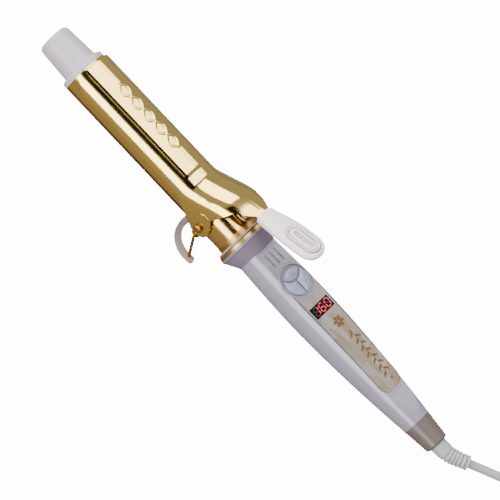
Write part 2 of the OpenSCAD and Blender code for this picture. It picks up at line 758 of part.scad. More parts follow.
// Slab of the panel's outline that follows the facet, between two heights over it
module panel_slab(low, high, grow) {
    x0 = dish_x;
    n = 8;
    span = (panel_end + 2 - x0) / n;
    intersection() {
        translate([0, 0, -1]) linear_extrude(2 * barrel_r) panel_outline(grow);
        side_prism(concat(
            [for (i = [0 : n]) [x0 + i * span, facet_z(min(x0 + i * span, panel_end)) + low]],
            [for (i = [n : -1 : 0]) [x0 + i * span, facet_z(min(x0 + i * span, panel_end)) + high]]), 2 * barrel_d);
        handle_bound(high);
    }
}

// The panel ends at the handle's round side
module handle_bound(high) {
    turned(concat([[0, x_neck]],
        [for (i = [0 : stations]) [handle_r(handle_place(i)) + (high > 1 ? 3 : 0), handle_place(i)]], [[0, x_tail]]));
}

module control_panel() {
    color([0.76, 0.72, 0.66]) difference() {
        panel_slab(-panel_t, 0.1, 0);
        translate([display_x - display_len / 2 - 0.05, -display_w / 2 - 0.05, 0])
            cube([display_len + 0.1, display_w + 0.1, 20]);
    }
}

module display_window() {
    color([0.08, 0.06, 0.07]) translate([display_x - display_len / 2, -display_w / 2, facet_z(display_x) - panel_t])
        cube([display_len, display_w, panel_t + 0.05]);
}

module display_module() {
    color([0.15, 0.15, 0.16]) translate([display_x - display_len / 2 + 1, -display_w / 2 + 1, board_z + board_t])
        cube([display_len - 2, display_w - 2, facet_z(display_x) - panel_t - board_z - board_t - 0.1]);
}

// Gilt ornament on the panel: a round rosette and three dots, each level with the facet below it
module panel_foil() {
    foil_t = 0.12;
    module on_facet(x, y) {
        translate([x, y, facet_z(x) + 0.13]) rotate([0, atan2(facet_z(x - 1) - facet_z(x + 1), 2), 0]) children();
    }
    color([0.7, 0.5, 0.2]) {
        on_facet(display_x + 13.5, 2) {
            difference() {
                cylinder(h = foil_t, r = 4.2);
                translate([0, 0, -1]) cylinder(h = 2, r = 3.2);
            }
            cylinder(h = foil_t, r = 1.4);
        }
        for (i = [0 : 2]) on_facet(display_x + 28 + 9 * i, 3.5) cylinder(h = foil_t, r = 1.7);
    }
}

// ---------- inside the handle ----------

module circuit_board() {
    color([0.1, 0.35, 0.2]) difference() {
        translate([board_front, -board_half, board_z]) cube([board_back - board_front, 2 * board_half, board_t]);
        for (x = post_spots) translate([x, 0, board_z - 1]) cylinder(h = board_t + 2, r = 1.05);
    }
}

module board_screws() {
    color([0.6, 0.6, 0.62]) for (x = post_spots) translate([x, 0, 0]) {
        translate([0, 0, board_z - 1.2]) cylinder(h = 1.2, r = 2);
        translate([0, 0, board_z - 0.1]) cylinder(h = board_t + 3, r = 0.9);
    }
}

module key_switches() {
    color([0.3, 0.3, 0.32]) for (at = [power_stem, plus_stem, [plus_stem[0], -plus_stem[1]]])
        translate([dish_x + at[0], at[1], board_z + board_t]) {
            translate([-2.5, -2.5, 0]) cube([5, 5, switch_h - 0.6]);
            cylinder(h = switch_h, r = 1.2);
        }
}

module power_module() {
    color([0.2, 0.22, 0.3]) translate([display_x + 14, -6.5, board_z - 9]) cube([17, 13, 9]);
}

module capacitor() {
    color([0.15, 0.2, 0.5]) translate([0, 0, board_z - 4.6]) rod(dish_x + 8, dish_x + 21, 4.4);
}

module switching_transistor() {
    color([0.12, 0.12, 0.12]) translate([display_x + 37, -5, board_z - 4.6]) cube([9, 10, 4.6]);
}

// Bar over the cord's end inside the handle, with its two feet on the lower shell
module cord_clamp() {
    x = x_tail - 7;
    color([0.25, 0.25, 0.27]) difference() {
        intersection() {
            translate([x - 2.5, -barrel_r, split_z - 1]) cube([5, barrel_d, 9]);
            turned(concat([[0, x - 3]], [for (i = [-3 : 3 : 3]) [handle_r(x + i) - handle_wall - slip, x + i]], [[0, x + 3]]));
        }
        rod(x - 6, x + 6, cord_r + 0.05);
    }
}

// The cord's end in its clamp, and its two insulated wires past the rear screw's post to the board
module supply_wires() {
    supply_front = x_tail - 9.1;
    supply_back = x_end - 9;
    wire_r = 1;
    elbow_r = 1.45;          // sleeves at the bends
    near_y = 1.4;
    past_y = 4.7;
    spread_x = 4.5;
    board_x = board_back - 3;
    color([0.9, 0.9, 0.92]) {
        rod(supply_front, supply_back, cord_r);
        for (side = [-1, 1]) {
            translate([supply_front, side * near_y, 0]) {
                sphere(elbow_r);
                rotate([0, -90, -side * atan2(past_y - near_y, spread_x)])
                    cylinder(h = norm([spread_x, past_y - near_y]), r = wire_r);
            }
            translate([supply_front - spread_x, side * past_y, 0]) sphere(elbow_r);
            translate([0, side * past_y, 0]) rod(board_x, supply_front - spread_x, wire_r);
            translate([board_x, side * past_y, 0]) {
                sphere(elbow_r);
                cylinder(h = board_z, r = wire_r);
            }
        }
    }
}

// ---------- end cap, cord guard, cord and plug ----------

guard_base_r = 6.2;
guard_tip_r = 5.1;
module end_cap() {
    color([0.6, 0.55, 0.53]) turned(concat(
        [[tail_r - handle_wall - 1.6, x_tail - 4], [tail_r - handle_wall - slip, x_tail - 4],
         [tail_r - handle_wall - slip, x_tail], [tail_r, x_tail]],
        back_corner(cap_end_r, x_end, cap_corner),
        [[guard_base_r + slip, x_end], [guard_base_r + slip, x_end - 3], [6.9, x_end - 3], [6.9, x_end - 9],
         [tail_r - handle_wall - 1.6, x_end - 10]]));
}

// Flexible guard: smooth at its base, then ribbed, bending with the cord
module cord_guard() {
    route = concat([on_table([x_end - 8, 0, 0]), on_table([x_end, 0, 0])], guard_route);
    steps = 8;
    run = smooth(route, steps);
    last = len(run) - 1;
    color([0.84, 0.85, 0.85]) {
        tube(run, [for (i = [0 : last])
            guard_base_r + (guard_tip_r - guard_base_r) * i / last
                - (i > 16 && i % 4 >= 2 && i < last - 1 ? 0.45 : 0)], 24);
        placed() rod(x_end - 8, x_end - 3.1, 6.8);
    }
}

module cord_lead() {
    run = smooth(lead_route, 1);
    color([0.85, 0.85, 0.86]) tube(run, [for (p = run) cord_r], 10);
}

// Outline of a loop of cord folded at both ends: two straight sides and two round folds
module folded_outline(r) {
    translate([0, -r]) square([hank_run, 2 * r]);
    for (x = [0, hank_run]) translate([x, 0]) circle(r);
}

// The hank's outer shape: five laps of the cord in three layers, round the plug
module cord_hank() {
    color([0.85, 0.85, 0.86]) translate([hank_at[0], hank_at[1], hank_z]) linear_extrude(hank_h) difference() {
        folded_outline(hank_out_r);
        folded_outline(hank_in_r);
    }
}

// Strap round the hank's two sides
module cord_tie() {
    across = 2 * hank_out_r;
    color([0.2, 0.2, 0.2]) translate([hank_at[0] + hank_run / 2, hank_at[1], hank_z])
        rotate([90, 0, 90]) linear_extrude(tie_w, center = true) difference() {
            translate([-across / 2 - tie_t, -tie_t]) square([across + 2 * tie_t, hank_h + 2 * tie_t]);
            translate([-across / 2, 0]) square([across, hank_h]);
        }
}

module cord_tail() {
    run = smooth(tail_route, 1);
    color([0.85, 0.85, 0.86]) tube(run, [for (p = run) cord_r], 10);
}

module plug_body() {
    color([0.82, 0.82, 0.83]) translate(plug_at) rotate([0, 0, -90]) {
        hull() {
            translate([0, 14, 0]) rotate([90, 0, 0]) cylinder(h = 1, r = 7, center = true, $fn = 32);
            for (x = [-8, 8], z = [-4.5, 4.5]) translate([x, 20, z]) rotate([-90, 0, 0]) cylinder(h = 16, r = 4, $fn = 32);
        }
        rotate([-90, 0, 0]) cylinder(h = 14, r1 = 3.8, r2 = 5.4);
    }
}

module plug_blades() {
    color([0.8, 0.78, 0.7]) translate(plug_at) rotate([0, 0, -90]) for (x = [-6.35, 6.35]) difference() {
        translate([x - 0.75, 36, -3.15]) cube([1.5, 16, 6.3]);
        translate([x - 2, 48, 0]) rotate([0, 90, 0]) cylinder(h = 4, r = 1.5);
    }
}

// ---------- the assembly ----------

placed() cool_tip();
placed() barrel();
placed() heater_half(1);  // heater_upper
placed() heater_half(-1);  // heater_lower
placed() insulation_sleeve();
placed() ceramic_element();
placed() thermal_fuse();
placed() temperature_sensor();
placed() heater_leads();
placed() collar();
placed() guard_rim();
placed() trim_ring();
placed() heat_guard();
placed() hinge_bracket();
placed() hinge_pin(-1);  // hinge_pin_left
placed() hinge_pin(1);  // hinge_pin_right
placed() clip_plate();
placed() clip_spring();
placed() thumb_lever();
placed() lever_rivets();
rest_leg(-1);  // rest_leg_left
rest_leg(1);  // rest_leg_right
rest_foot();
placed() handle_upper();
placed() handle_lower();
placed() handle_screws();
placed() control_panel();
placed() panel_foil();
placed() display_window();
placed() display_module();
placed() power_button();
placed() plus_button();
placed() minus_button();
placed() circuit_board();
placed() board_screws();
placed() key_switches();
placed() power_module();
placed() capacitor();
placed() switching_transistor();
placed() cord_clamp();
placed() supply_wires();
placed() end_cap();
cord_guard();
cord_lead();
cord_hank();
cord_tie();
cord_tail();
plug_body();
plug_blades();
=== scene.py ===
import json
import math

import bmesh
import bpy
from mathutils import Matrix, Vector


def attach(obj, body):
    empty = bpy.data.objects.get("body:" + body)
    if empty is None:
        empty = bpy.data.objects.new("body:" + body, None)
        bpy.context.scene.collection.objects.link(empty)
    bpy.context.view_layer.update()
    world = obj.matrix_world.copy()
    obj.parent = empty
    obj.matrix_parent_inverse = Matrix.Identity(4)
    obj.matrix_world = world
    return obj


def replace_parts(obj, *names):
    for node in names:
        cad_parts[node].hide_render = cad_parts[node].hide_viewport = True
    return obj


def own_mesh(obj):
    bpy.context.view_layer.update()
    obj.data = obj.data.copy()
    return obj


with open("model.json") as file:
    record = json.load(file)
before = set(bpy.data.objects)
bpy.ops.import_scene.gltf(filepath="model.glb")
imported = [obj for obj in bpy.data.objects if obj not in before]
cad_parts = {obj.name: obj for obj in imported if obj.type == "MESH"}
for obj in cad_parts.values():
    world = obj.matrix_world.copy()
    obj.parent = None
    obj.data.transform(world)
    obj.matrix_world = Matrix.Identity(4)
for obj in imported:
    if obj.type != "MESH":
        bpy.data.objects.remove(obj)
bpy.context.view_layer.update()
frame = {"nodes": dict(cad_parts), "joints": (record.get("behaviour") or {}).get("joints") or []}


# ---- The iron's own frame ----
# The iron leans back on its rest, so its maker's drawing is level, in mm: x from the front of the tip along
# the axis, y across it, and z up towards the thumb lever. drawn() sets such a point on the table, in metres.

joints = {joint["name"]: joint for joint in frame["joints"]}
press_axis = joints["power_press"]["axis"]
lean = math.atan2(-press_axis[0], -press_axis[2])
hinge_at = Vector(joints["clip_hinge"]["pos_m"])
HINGE_X, HINGE_Z = 151.6, -1.0
level_to_table = (Matrix.Translation(hinge_at) @ Matrix.Rotation(lean, 4, "Y")
                  @ Matrix.Scale(0.001, 4) @ Matrix.Translation((-HINGE_X, 0, -HINGE_Z)))


def drawn(x, y, z):
    return level_to_table @ Vector((x, y, z))


# ---- Camera, light and table ----
# A long lens looks down on the iron from the side, square to its axis and a little behind its middle, and is
# rolled so that the iron runs from the upper left to the lower right.

VIEW_ROLL = math.radians(46.56)       # of the iron's axis below level, as the camera sees it
VIEW_TURN = math.radians(35)          # of the camera from the iron's top towards its near side
VIEW_DISTANCE = 1900
VIEW_LOW = 1.7                        # how far below the axis it looks
AIM_X, STAND_X = 183.7, 202
LENS, SENSOR = 216.5, 36
lean_turn = Matrix.Rotation(lean, 3, "Y")


def add_object(name, data):
    """A new object in the scene that holds this mesh, curve, lamp or camera."""
    thing = bpy.data.objects.new(name, data)
    bpy.context.scene.collection.objects.link(thing)
    return thing


back = Vector((0, -math.sin(VIEW_TURN), math.cos(VIEW_TURN)))
up_side = Vector((0, math.cos(VIEW_TURN), math.sin(VIEW_TURN)))
aim = Vector((AIM_X, 0, 0)) - VIEW_LOW * up_side
stand_point = Vector((STAND_X, 0, 0)) - VIEW_LOW * up_side + VIEW_DISTANCE * back
to_camera = (stand_point - aim).normalized()
right = math.cos(VIEW_ROLL) * Vector((1, 0, 0)) + math.sin(VIEW_ROLL) * up_side
right = (right - right.dot(to_camera) * to_camera).normalized()
up = to_camera.cross(right)
turn = lean_turn @ Matrix((right, up, to_camera)).transposed()
camera_data = bpy.data.cameras.new("camera")
camera_data.sensor_width = SENSOR
camera_data.lens = LENS
camera_data.clip_end = 20
camera = add_object("camera", camera_data)
camera.matrix_world = Matrix.Translation(drawn(*stand_point)) @ turn.to_4x4()
bpy.context.scene.camera = camera
LIT_POINT = Vector((0.05, 0, 0.03))


def area_light(name, place, size, power, color=(1, 1, 1), size_y=None):
    """Soft light that faces the iron, its place and size in metres and its power in watts."""
    lamp = bpy.data.lights.new(name, "AREA")
    lamp.shape = "RECTANGLE"
    lamp.size = size
    lamp.size_y = size_y or size
    lamp.energy = power
    lamp.color = color
    stand = add_object(name, lamp)
    stand.location = place
    stand.rotation_euler = (LIT_POINT - Vector(place)).to_track_quat("-Z", "Y").to_euler()


area_light("top_light", (-0.12, 0.0, 1.4), 1.5, 24, size_y=0.85)
area_light("near_light", (-0.16, -1.40, 0.54), 2.1, 42, size_y=0.72)
area_light("tip_side_light", (-1.25, 0.1, 0.95), 1.1, 30, color=(1.0, 0.99, 0.97))
area_light("far_light", (-0.16, 0.86, 1.23), 0.6, 3.5, size_y=0.4)

world = bpy.data.worlds.new("studio")
world.use_nodes = True
bpy.context.scene.world = world
sky = world.node_tree
sky.nodes["Background"].inputs["Strength"].default_value = 0.5
sky.nodes["Background"].inputs["Color"].default_value = (0.97, 0.97, 1.0, 1)


def stage_plane(name, corners, color, glow=0):
    """A flat part of the studio; glow is what it sends to the camera and to nothing else."""
    plane_mesh = bpy.data.meshes.new(name)
    plane_mesh.from_pydata(corners, [], [(0, 1, 2, 3)])
    plane = add_object(name, plane_mesh)
    paint = bpy.data.materials.new(name + "_paint")
    paint.use_nodes = True
    nodes, links = paint.node_tree.nodes, paint.node_tree.links
    shader = nodes["Principled BSDF"]
    shader.inputs["Base Color"].default_value = (*color, 1)
    shader.inputs["Roughness"].default_value = 0.9
    shader.inputs["Specular IOR Level"].default_value = 0.0
    if glow:
        shader.inputs["Emission Color"].default_value = (1, 1, 1, 1)
        seen = nodes.new("ShaderNodeLightPath")
        scale = nodes.new("ShaderNodeMath")
        scale.operation = "MULTIPLY"
        scale.inputs[1].default_value = glow
        links.new(seen.outputs["Is Camera Ray"], scale.inputs[0])
        links.new(scale.outputs["Value"], shader.inputs["Emission Strength"])
    plane_mesh.materials.append(paint)


# The table shows white to the camera. A black flag behind the camera and a narrow black card on the table
# under the barrel's near side draw the dark lines that polished metal needs. CARD_ENDS are places along the
# iron in mm, and the rest is in metres.
FLOOR, GLOW, BLACK = 4.0, 14, (0.012, 0.010, 0.008)
stage_plane("table_top", [(-FLOOR, -FLOOR, 0), (FLOOR, -FLOOR, 0), (FLOOR, FLOOR, 0), (-FLOOR, FLOOR, 0)],
            (0.17, 0.15, 0.13), glow=GLOW)
FLAG_BACK, FLAG_LONG, FLAG_FAR_EDGE, FLAG_NEAR_EDGE = 0.5, 1.9, -0.54, 0.74
flag_middle = camera.matrix_world.translation + FLAG_BACK * (camera.matrix_world.to_3x3() @ Vector((0, 0, 1)))
flag_along = lean_turn @ Vector((1, 0, 0))
flag_down = (lean_turn @ Vector((0, -math.cos(VIEW_TURN), -math.sin(VIEW_TURN)))).normalized()
stage_plane("black_flag", [flag_middle + u * FLAG_LONG * flag_along + v * flag_down
                           for u, v in ((-1, FLAG_FAR_EDGE), (1, FLAG_FAR_EDGE), (1, FLAG_NEAR_EDGE),
                                        (-1, FLAG_NEAR_EDGE))], BLACK)
CARD_ENDS, CARD_HALF, CARD_LIFT = (20, 150), 0.005, 0.0004
CARD_WAY = (0, -0.454, -0.891)
card_side = Vector((0, CARD_HALF, 0))
card_way = lean_turn @ Vector(CARD_WAY)
card_feet = []
for x in CARD_ENDS:
    foot_point = drawn(x, 0, 0)
    card_feet.append(foot_point + card_way * (foot_point.z - CARD_LIFT) / -card_way.z)
stage_plane("black_card", [card_feet[0] - card_side, card_feet[1] - card_side, card_feet[1] + card_side,
                           card_feet[0] + card_side], BLACK, glow=GLOW)


# ---- Shared effects ----
# Two groups serve most of the finishes: fine grain that every moulded or plated skin has, and the dust and
# handling marks that gather on a used tool. Each material sets its own sizes and strengths.

def socket(group, name, kind, into, default=None):
    made = group.interface.new_socket(name=name, in_out=into, socket_type=kind)
    if default is not None:
        made.default_value = default
    return made


def make_grain_group():
    """Fine grain: noise at a given size, as a height and as a slow mottling of the colour."""
    group = bpy.data.node_groups.new("skin_grain", "ShaderNodeTree")
    socket(group, "Grain Size", "NodeSocketFloat", "INPUT", 4000)
    socket(group, "Mottle Size", "NodeSocketFloat", "INPUT", 60)
    socket(group, "Height", "NodeSocketFloat", "OUTPUT")
    socket(group, "Mottle", "NodeSocketFloat", "OUTPUT")
    start, end = group.nodes.new("NodeGroupInput"), group.nodes.new("NodeGroupOutput")
    place = group.nodes.new("ShaderNodeTexCoord")
    for label, detail, target in (("Grain Size", 3, "Height"), ("Mottle Size", 4, "Mottle")):
        cloud = group.nodes.new("ShaderNodeTexNoise")
        cloud.inputs["Detail"].default_value = detail
        group.links.new(place.outputs["Object"], cloud.inputs["Vector"])
        group.links.new(start.outputs[label], cloud.inputs["Scale"])
        group.links.new(cloud.outputs["Fac"], end.inputs[target])
    return group


def make_wear_group():
    """Wear: a mask of fine scuffs, long along the iron and short across it."""
    group = bpy.data.node_groups.new("scuffs", "ShaderNodeTree")
    socket(group, "Scale", "NodeSocketFloat", "INPUT", 200)
    socket(group, "Stretch", "NodeSocketVector", "INPUT", (1, 8, 8))
    socket(group, "Mask", "NodeSocketFloat", "OUTPUT")
    start, end = group.nodes.new("NodeGroupInput"), group.nodes.new("NodeGroupOutput")
    place = group.nodes.new("ShaderNodeTexCoord")
    stretch = group.nodes.new("ShaderNodeVectorMath")
    stretch.operation = "MULTIPLY"
    cloud = group.nodes.new("ShaderNodeTexNoise")
    cloud.inputs["Detail"].default_value = 6
    cloud.inputs["Roughness"].default_value = 0.7
    ramp = group.nodes.new("ShaderNodeValToRGB")
    ramp.color_ramp.elements[0].position = 0.5
    ramp.color_ramp.elements[1].position = 0.75
    group.links.new(place.outputs["Object"], stretch.inputs[0])
    group.links.new(start.outputs["Stretch"], stretch.inputs[1])
    group.links.new(stretch.outputs[0], cloud.inputs["Vector"])
    group.links.new(start.outputs["Scale"], cloud.inputs["Scale"])
    group.links.new(cloud.outputs["Fac"], ramp.inputs[0])
    group.links.new(ramp.outputs["Color"], end.inputs["Mask"])
    return group


skin_grain = make_grain_group()
scuffs = make_wear_group()
DENT_DEPTH = 0.0002


def finish(name, color, second, rough, rough_worn, grain=4000, mottle=60, bump=0.02, scuff_scale=200,
           stretch=(1, 8, 8), **plain):
    """A material: two close tones mottled together, roughness that rises in the scuffs, and a fine bump.
    plain holds values that are the same all over, by the names of the shader's sockets."""
    material = bpy.data.materials.new(name)
    material.use_nodes = True
    nodes, links = material.node_tree.nodes, material.node_tree.links
    shader = nodes["Principled BSDF"]
    skin, wear = nodes.new("ShaderNodeGroup"), nodes.new("ShaderNodeGroup")
    skin.node_tree, wear.node_tree = skin_grain, scuffs
    skin.inputs["Grain Size"].default_value = grain
    skin.inputs["Mottle Size"].default_value = mottle
    wear.inputs["Scale"].default_value = scuff_scale
    wear.inputs["Stretch"].default_value = stretch
    tone = nodes.new("ShaderNodeMix")
    tone.data_type = "RGBA"
    tone.inputs["A"].default_value = (*color, 1)
    tone.inputs["B"].default_value = (*second, 1)
    links.new(skin.outputs["Mottle"], tone.inputs["Factor"])
    links.new(tone.outputs["Result"], shader.inputs["Base Color"])
    rub = nodes.new("ShaderNodeMapRange")
    rub.inputs["To Min"].default_value = rough
    rub.inputs["To Max"].default_value = rough_worn
    links.new(wear.outputs["Mask"], rub.inputs["Value"])
    links.new(rub.outputs["Result"], shader.inputs["Roughness"])
    dents = nodes.new("ShaderNodeBump")
    dents.inputs["Strength"].default_value = bump
    dents.inputs["Distance"].default_value = DENT_DEPTH
    links.new(skin.outputs["Height"], dents.inputs["Height"])
    links.new(dents.outputs["Normal"], shader.inputs["Normal"])
    for label, value in plain.items():
        shader.inputs[label.replace("_", " ")].default_value = value
    return material


# ---- Cord ----
# A round mains lead in soft grey vinyl, with a grooved guard moulded on where it bends at the iron's tail. It
# lies on the table, and the rest of its 1.8 m is folded into a flat hank of five laps in three layers, with
# the plug put away in its middle.

CORD_R = 0.003
LEAD_ROUTE = [(237.5, 6.6, 5.5), (243, 9.4, 4.8), (249, 12.4, 4.2), (256, 15.7, 3.7), (264, 19, 3.3),
              (273, 22.3, 3.1), (283, 25.6, 3.2), (293, 28, 3.5), (305, 29, 3.8)]
TAIL_ROUTE = [(305, 23, 15.8), (313, 22.2, 15.8), (321, 19.2, 15), (328, 14.4, 13.2), (335, 9.2, 11),
              (342, 6, 9.3), (350, 5, 8.5)]
ROUTE_STEPS, FOLD_STEPS, RUN_STEPS = 4, 18, 10
HANK_AT = (305, 5)        # centre of the near fold, in mm
HANK_RUN = 100            # between the centres of the two folds
HANK_OUTER = 24           # radius of the outer fold's middle
HANK_BASE = 3.8
HANK_LAPS = 5
STEP_IN = [(3.5, 4, -6), (10.5, 11, 6), (17, 18, -6)]     # legs between which a lap moves, and how far out
STEP_UP = [(7, 7.5, 6), (14, 14.5, 6)]                    # legs between which it climbs a layer


def smooth_run(points, steps):
    """More points on the smooth curve through the given ones."""
    run = []
    for i in range(len(points) - 1):
        a, b, c, d = (Vector(points[min(max(i + k, 0), len(points) - 1)]) for k in (-1, 0, 1, 2))
        for k in range(steps):
            t = k / steps
            run.append(0.5 * (2 * b + (c - a) * t + (2 * a - 5 * b + 4 * c - d) * t * t
                              + (3 * b - a - 3 * c + d) * t ** 3))
    return run + [Vector(points[-1])]


def eased(value, start, end):
    share = min(max((value - start) / (end - start), 0), 1)
    return share * share * (3 - 2 * share)


def hank_run():
    """The hank's centre line. A lap has four legs: a run from the iron, a fold, a run back and a fold."""
    run = []
    for leg in range(4 * HANK_LAPS):
        steps = FOLD_STEPS if leg % 2 else RUN_STEPS
        for i in range(steps):
            share = i / steps
            at = leg + share
            radius = HANK_OUTER + sum(change * eased(at, start, end) for start, end, change in STEP_IN)
            height = HANK_BASE + sum(change * eased(at, start, end) for start, end, change in STEP_UP)
            turned = math.pi * (leg // 2 % 2 + (share if leg % 2 else 0))
            along = (share, 1, 1 - share, 0)[leg % 4] * HANK_RUN
            run.append(Vector((HANK_AT[0] + along + radius * math.sin(turned),
                               HANK_AT[1] + radius * math.cos(turned), height)))
    return run


def finish_piece(name, body, slot, material, verts, faces, crease=35, replaces=(), level=True):
    """Mesh piece from its points and faces: set on the table, shaded, and put on its body. The slot is not
    used.
    """
    mesh = bpy.data.meshes.new(name)
    mesh.from_pydata([tuple(drawn(*v)) if level else tuple(v) for v in verts], [], faces)
    mesh.validate()
    work = bmesh.new()
    work.from_mesh(mesh)
    bmesh.ops.remove_doubles(work, verts=work.verts, dist=1e-6)
    bmesh.ops.recalc_face_normals(work, faces=work.faces)
    work.to_mesh(mesh)
    work.free()
    mesh.shade_smooth()
    mesh.set_sharp_from_angle(angle=math.radians(crease))
    piece = add_object(name, mesh)
    mesh.materials.append(material)
    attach(piece, body)
    if replaces:
        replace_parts(piece, *replaces)
    return piece


def ring_faces(rings, n):
    """Quads between rings of n points."""
    return [(i * n + j, i * n + (j + 1) % n, (i + 1) * n + (j + 1) % n, (i + 1) * n + j)
            for i in range(rings - 1) for j in range(n)]


def closed_faces(rings, n):
    """The same, with a face over each end."""
    return ring_faces(rings, n) + [tuple(range(n)), tuple(range((rings - 1) * n, rings * n))]


def round_sweep(points, radii, sides):
    """A round skin along a line of points, with a radius at each point and its ends closed."""
    verts, across = [], Vector((0, 0, 1))
    last = len(points) - 1
    for i, (place, radius) in enumerate(zip(points, radii)):
        along = (points[min(i + 1, last)] - points[max(i - 1, 0)]).normalized()
        across = (across - across.dot(along) * along).normalized()
        third = along.cross(across)
        for k in range(sides):
            angle = 2 * math.pi * k / sides
            verts.append(place + radius * (math.cos(angle) * across + math.sin(angle) * third))
    return verts, closed_faces(len(points), sides)


GUARD_THICK, GUARD_THIN = 0.0062, 0.0051
GUARD_GROOVES, GROOVE_DEEP, GROOVES_FROM, GROOVES_LONG = 6, 0.0009, 0.45, 0.52
GUARD_STEPS, GUARD_SIDES = 26, 48
guard_line = smooth_run([drawn(346, 0, 0), drawn(354, 0, 0), (0.2245, 0.0009, 0.0067),
                         (0.2305, 0.0031, 0.00605), (0.2375, 0.0066, 0.0055)], GUARD_STEPS)


def guard_radius(share):
    """Radius at a share of the guard's length: it tapers, with ring grooves in its outer half."""
    radius = GUARD_THICK + (GUARD_THIN - GUARD_THICK) * share
    wave = (share - GROOVES_FROM) / GROOVES_LONG * GUARD_GROOVES
    if 0 < wave < GUARD_GROOVES:
        radius -= GROOVE_DEEP * (0.5 + 0.5 * math.cos(2 * math.pi * (wave + 0.5))) ** 2
    return radius


guard_radii = [guard_radius(i / (len(guard_line) - 1)) for i in range(len(guard_line))]
cord_line = smooth_run(LEAD_ROUTE, ROUTE_STEPS)[:-1] + hank_run() + smooth_run(TAIL_ROUTE, ROUTE_STEPS)
cord_line = [p * 0.001 for p in cord_line]
cord_vinyl = finish("cord_vinyl", (0.34, 0.355, 0.34), (0.37, 0.385, 0.37), 0.42, 0.6, bump=0.05,
                    Specular_IOR_Level=0.4)
cord_curve = bpy.data.curves.new("cord", "CURVE")
cord_curve.dimensions = "3D"
cord_curve.bevel_depth = CORD_R
cord_curve.bevel_resolution = 4
cord_curve.use_fill_caps = True
cord_spline = cord_curve.splines.new("POLY")
cord_spline.points.add(len(cord_line) - 1)
for point, place in zip(cord_spline.points, cord_line):
    point.co = (*place, 1)
cord_spline.use_smooth = True
cord_curve.materials.append(cord_vinyl)
guard_piece = finish_piece("bend_guard", "body", "cord_grey", cord_vinyl,
                           *round_sweep(guard_line, guard_radii, GUARD_SIDES), replaces=("cord_guard",),
                           level=False)
cord_piece = add_object("cord", cord_curve)
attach(cord_piece, "body")
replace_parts(cord_piece, "cord_lead", "cord_hank", "cord_tail")


# ---- Cool tip, barrel and collar ----
# The barrel is a drawn aluminium tube, plated pale gold and polished, with the bracket and two pins that the
# clip and the rest turn on. The tip that the fingers may touch is moulded in heat-proof plastic and pushed
# into its end, and a satin collar closes the other end.

def rgb(red, green, blue):
    """A colour from 0 to 255 as the shader's linear light."""
    return tuple(((v / 255 + 0.055) / 1.055) ** 2.4 if v > 10 else v / 255 / 12.92
                 for v in (red, green, blue))


def dress(material, *names):
    """Give CAD pieces a finish."""
    for name in names:
        for holder in frame["nodes"][name].material_slots:
            holder.material = material


gilt_barrel = finish("gilt_barrel", rgb(224, 186, 104), rgb(216, 176, 92), 0.13, 0.24, grain=2500, bump=0.008,
                     scuff_scale=120, stretch=(1, 5, 5), Metallic=1.0)
gilt_satin = finish("gilt_satin", rgb(186, 144, 76), rgb(170, 128, 62), 0.3, 0.42, grain=6000, bump=0.05,
                    Metallic=1.0)
tip_plastic = finish("tip_plastic", rgb(176, 168, 176), rgb(168, 160, 169), 0.42, 0.55, bump=0.04,
                     Coat_Weight=0.2, Coat_Roughness=0.3)
dress(tip_plastic, "cool_tip")
dress(gilt_barrel, "barrel", "hinge_bracket")
dress(gilt_satin, "collar", "trim_ring", "hinge_pin_left", "hinge_pin_right")


# ---- Clip ----
# One sheet of sprung steel, pressed to lie round the barrel, with a raised rib along its back, a braid
# embossed in the rib, and an arm that sweeps up to the lever. Two ears turn on the hinge pins. It is plated
# like the barrel.

def curve_through(x, table):
    """The height at x of a smooth curve through a table of places and heights."""
    if x <= table[0][0]:
        return table[0][1]
    for k in range(len(table) - 1):
        (x1, y1), (x2, y2) = table[k], table[k + 1]
        if x <= x2:
            x0, y0 = table[k - 1] if k else (2 * x1 - x2, y1)
            x3, y3 = table[k + 2] if k + 2 < len(table) else (2 * x2 - x1, 2 * y2 - y1)
            t = (x - x1) / (x2 - x1)
            m1 = (y2 - y0) / (x2 - x0) * (x2 - x1)
            m2 = (y3 - y1) / (x3 - x1) * (x2 - x1)
            return ((2 * t ** 3 - 3 * t * t + 1) * y1 + (t ** 3 - 2 * t * t + t) * m1
                    + (3 * t * t - 2 * t ** 3) * y2 + (t ** 3 - t * t) * m2)
    return table[-1][1]


CLIP_OUT, CLIP_SHEET = 17.9, 0.8        # outer radius of the trough and thickness of the sheet
CLIP_FRONT, CLIP_CORNER = 31.6, 13.0
CLIP_ANGLE, FRONT_ANGLE = math.radians(72.7), math.radians(33)
CREASE_X, ARM_LENGTH, ARM_RISE = 127.5, 44.1, 18.6
ARM_RADIUS, ARM_BLEND = 18.35, 14
ARM_LOW_X, CLIP_END = 152.4, 172.6
RIB_HALF, RIB_STEP, RIB_RISE = 10.4, 3.4, 0.42
RIB_FRONT, RIB_END = 30.0, 124.5
BRAID_FRONT, BRAID_PITCH, BRAID_LOOPS = 52.0, 10.8, 5
BRAID_HALF, BRAID_LINE, BRAID_RISE = 3.6, 0.55, 0.3
EDGE_ROUND = 1.012         # the edge's middle, past the sheet's faces
ARM_CROWN = [(0, 0), (0.1, 0.035), (0.31, 0.3), (0.455, 0.51), (0.6, 0.7), (0.735, 0.82), (1, 1)]
EAR_EDGE = [(127.5, 5.3), (133.6, 2), (139, -1.5), (143.6, -4.5), (147.6, -6.5), (152.4, -6.5)]


def crown(x):
    return CLIP_OUT + ARM_RISE * curve_through((x - CREASE_X) / ARM_LENGTH, ARM_CROWN)


def arch_radius(x):
    return CLIP_OUT + (ARM_RADIUS - CLIP_OUT) * eased(x, CREASE_X, CREASE_X + ARM_BLEND)


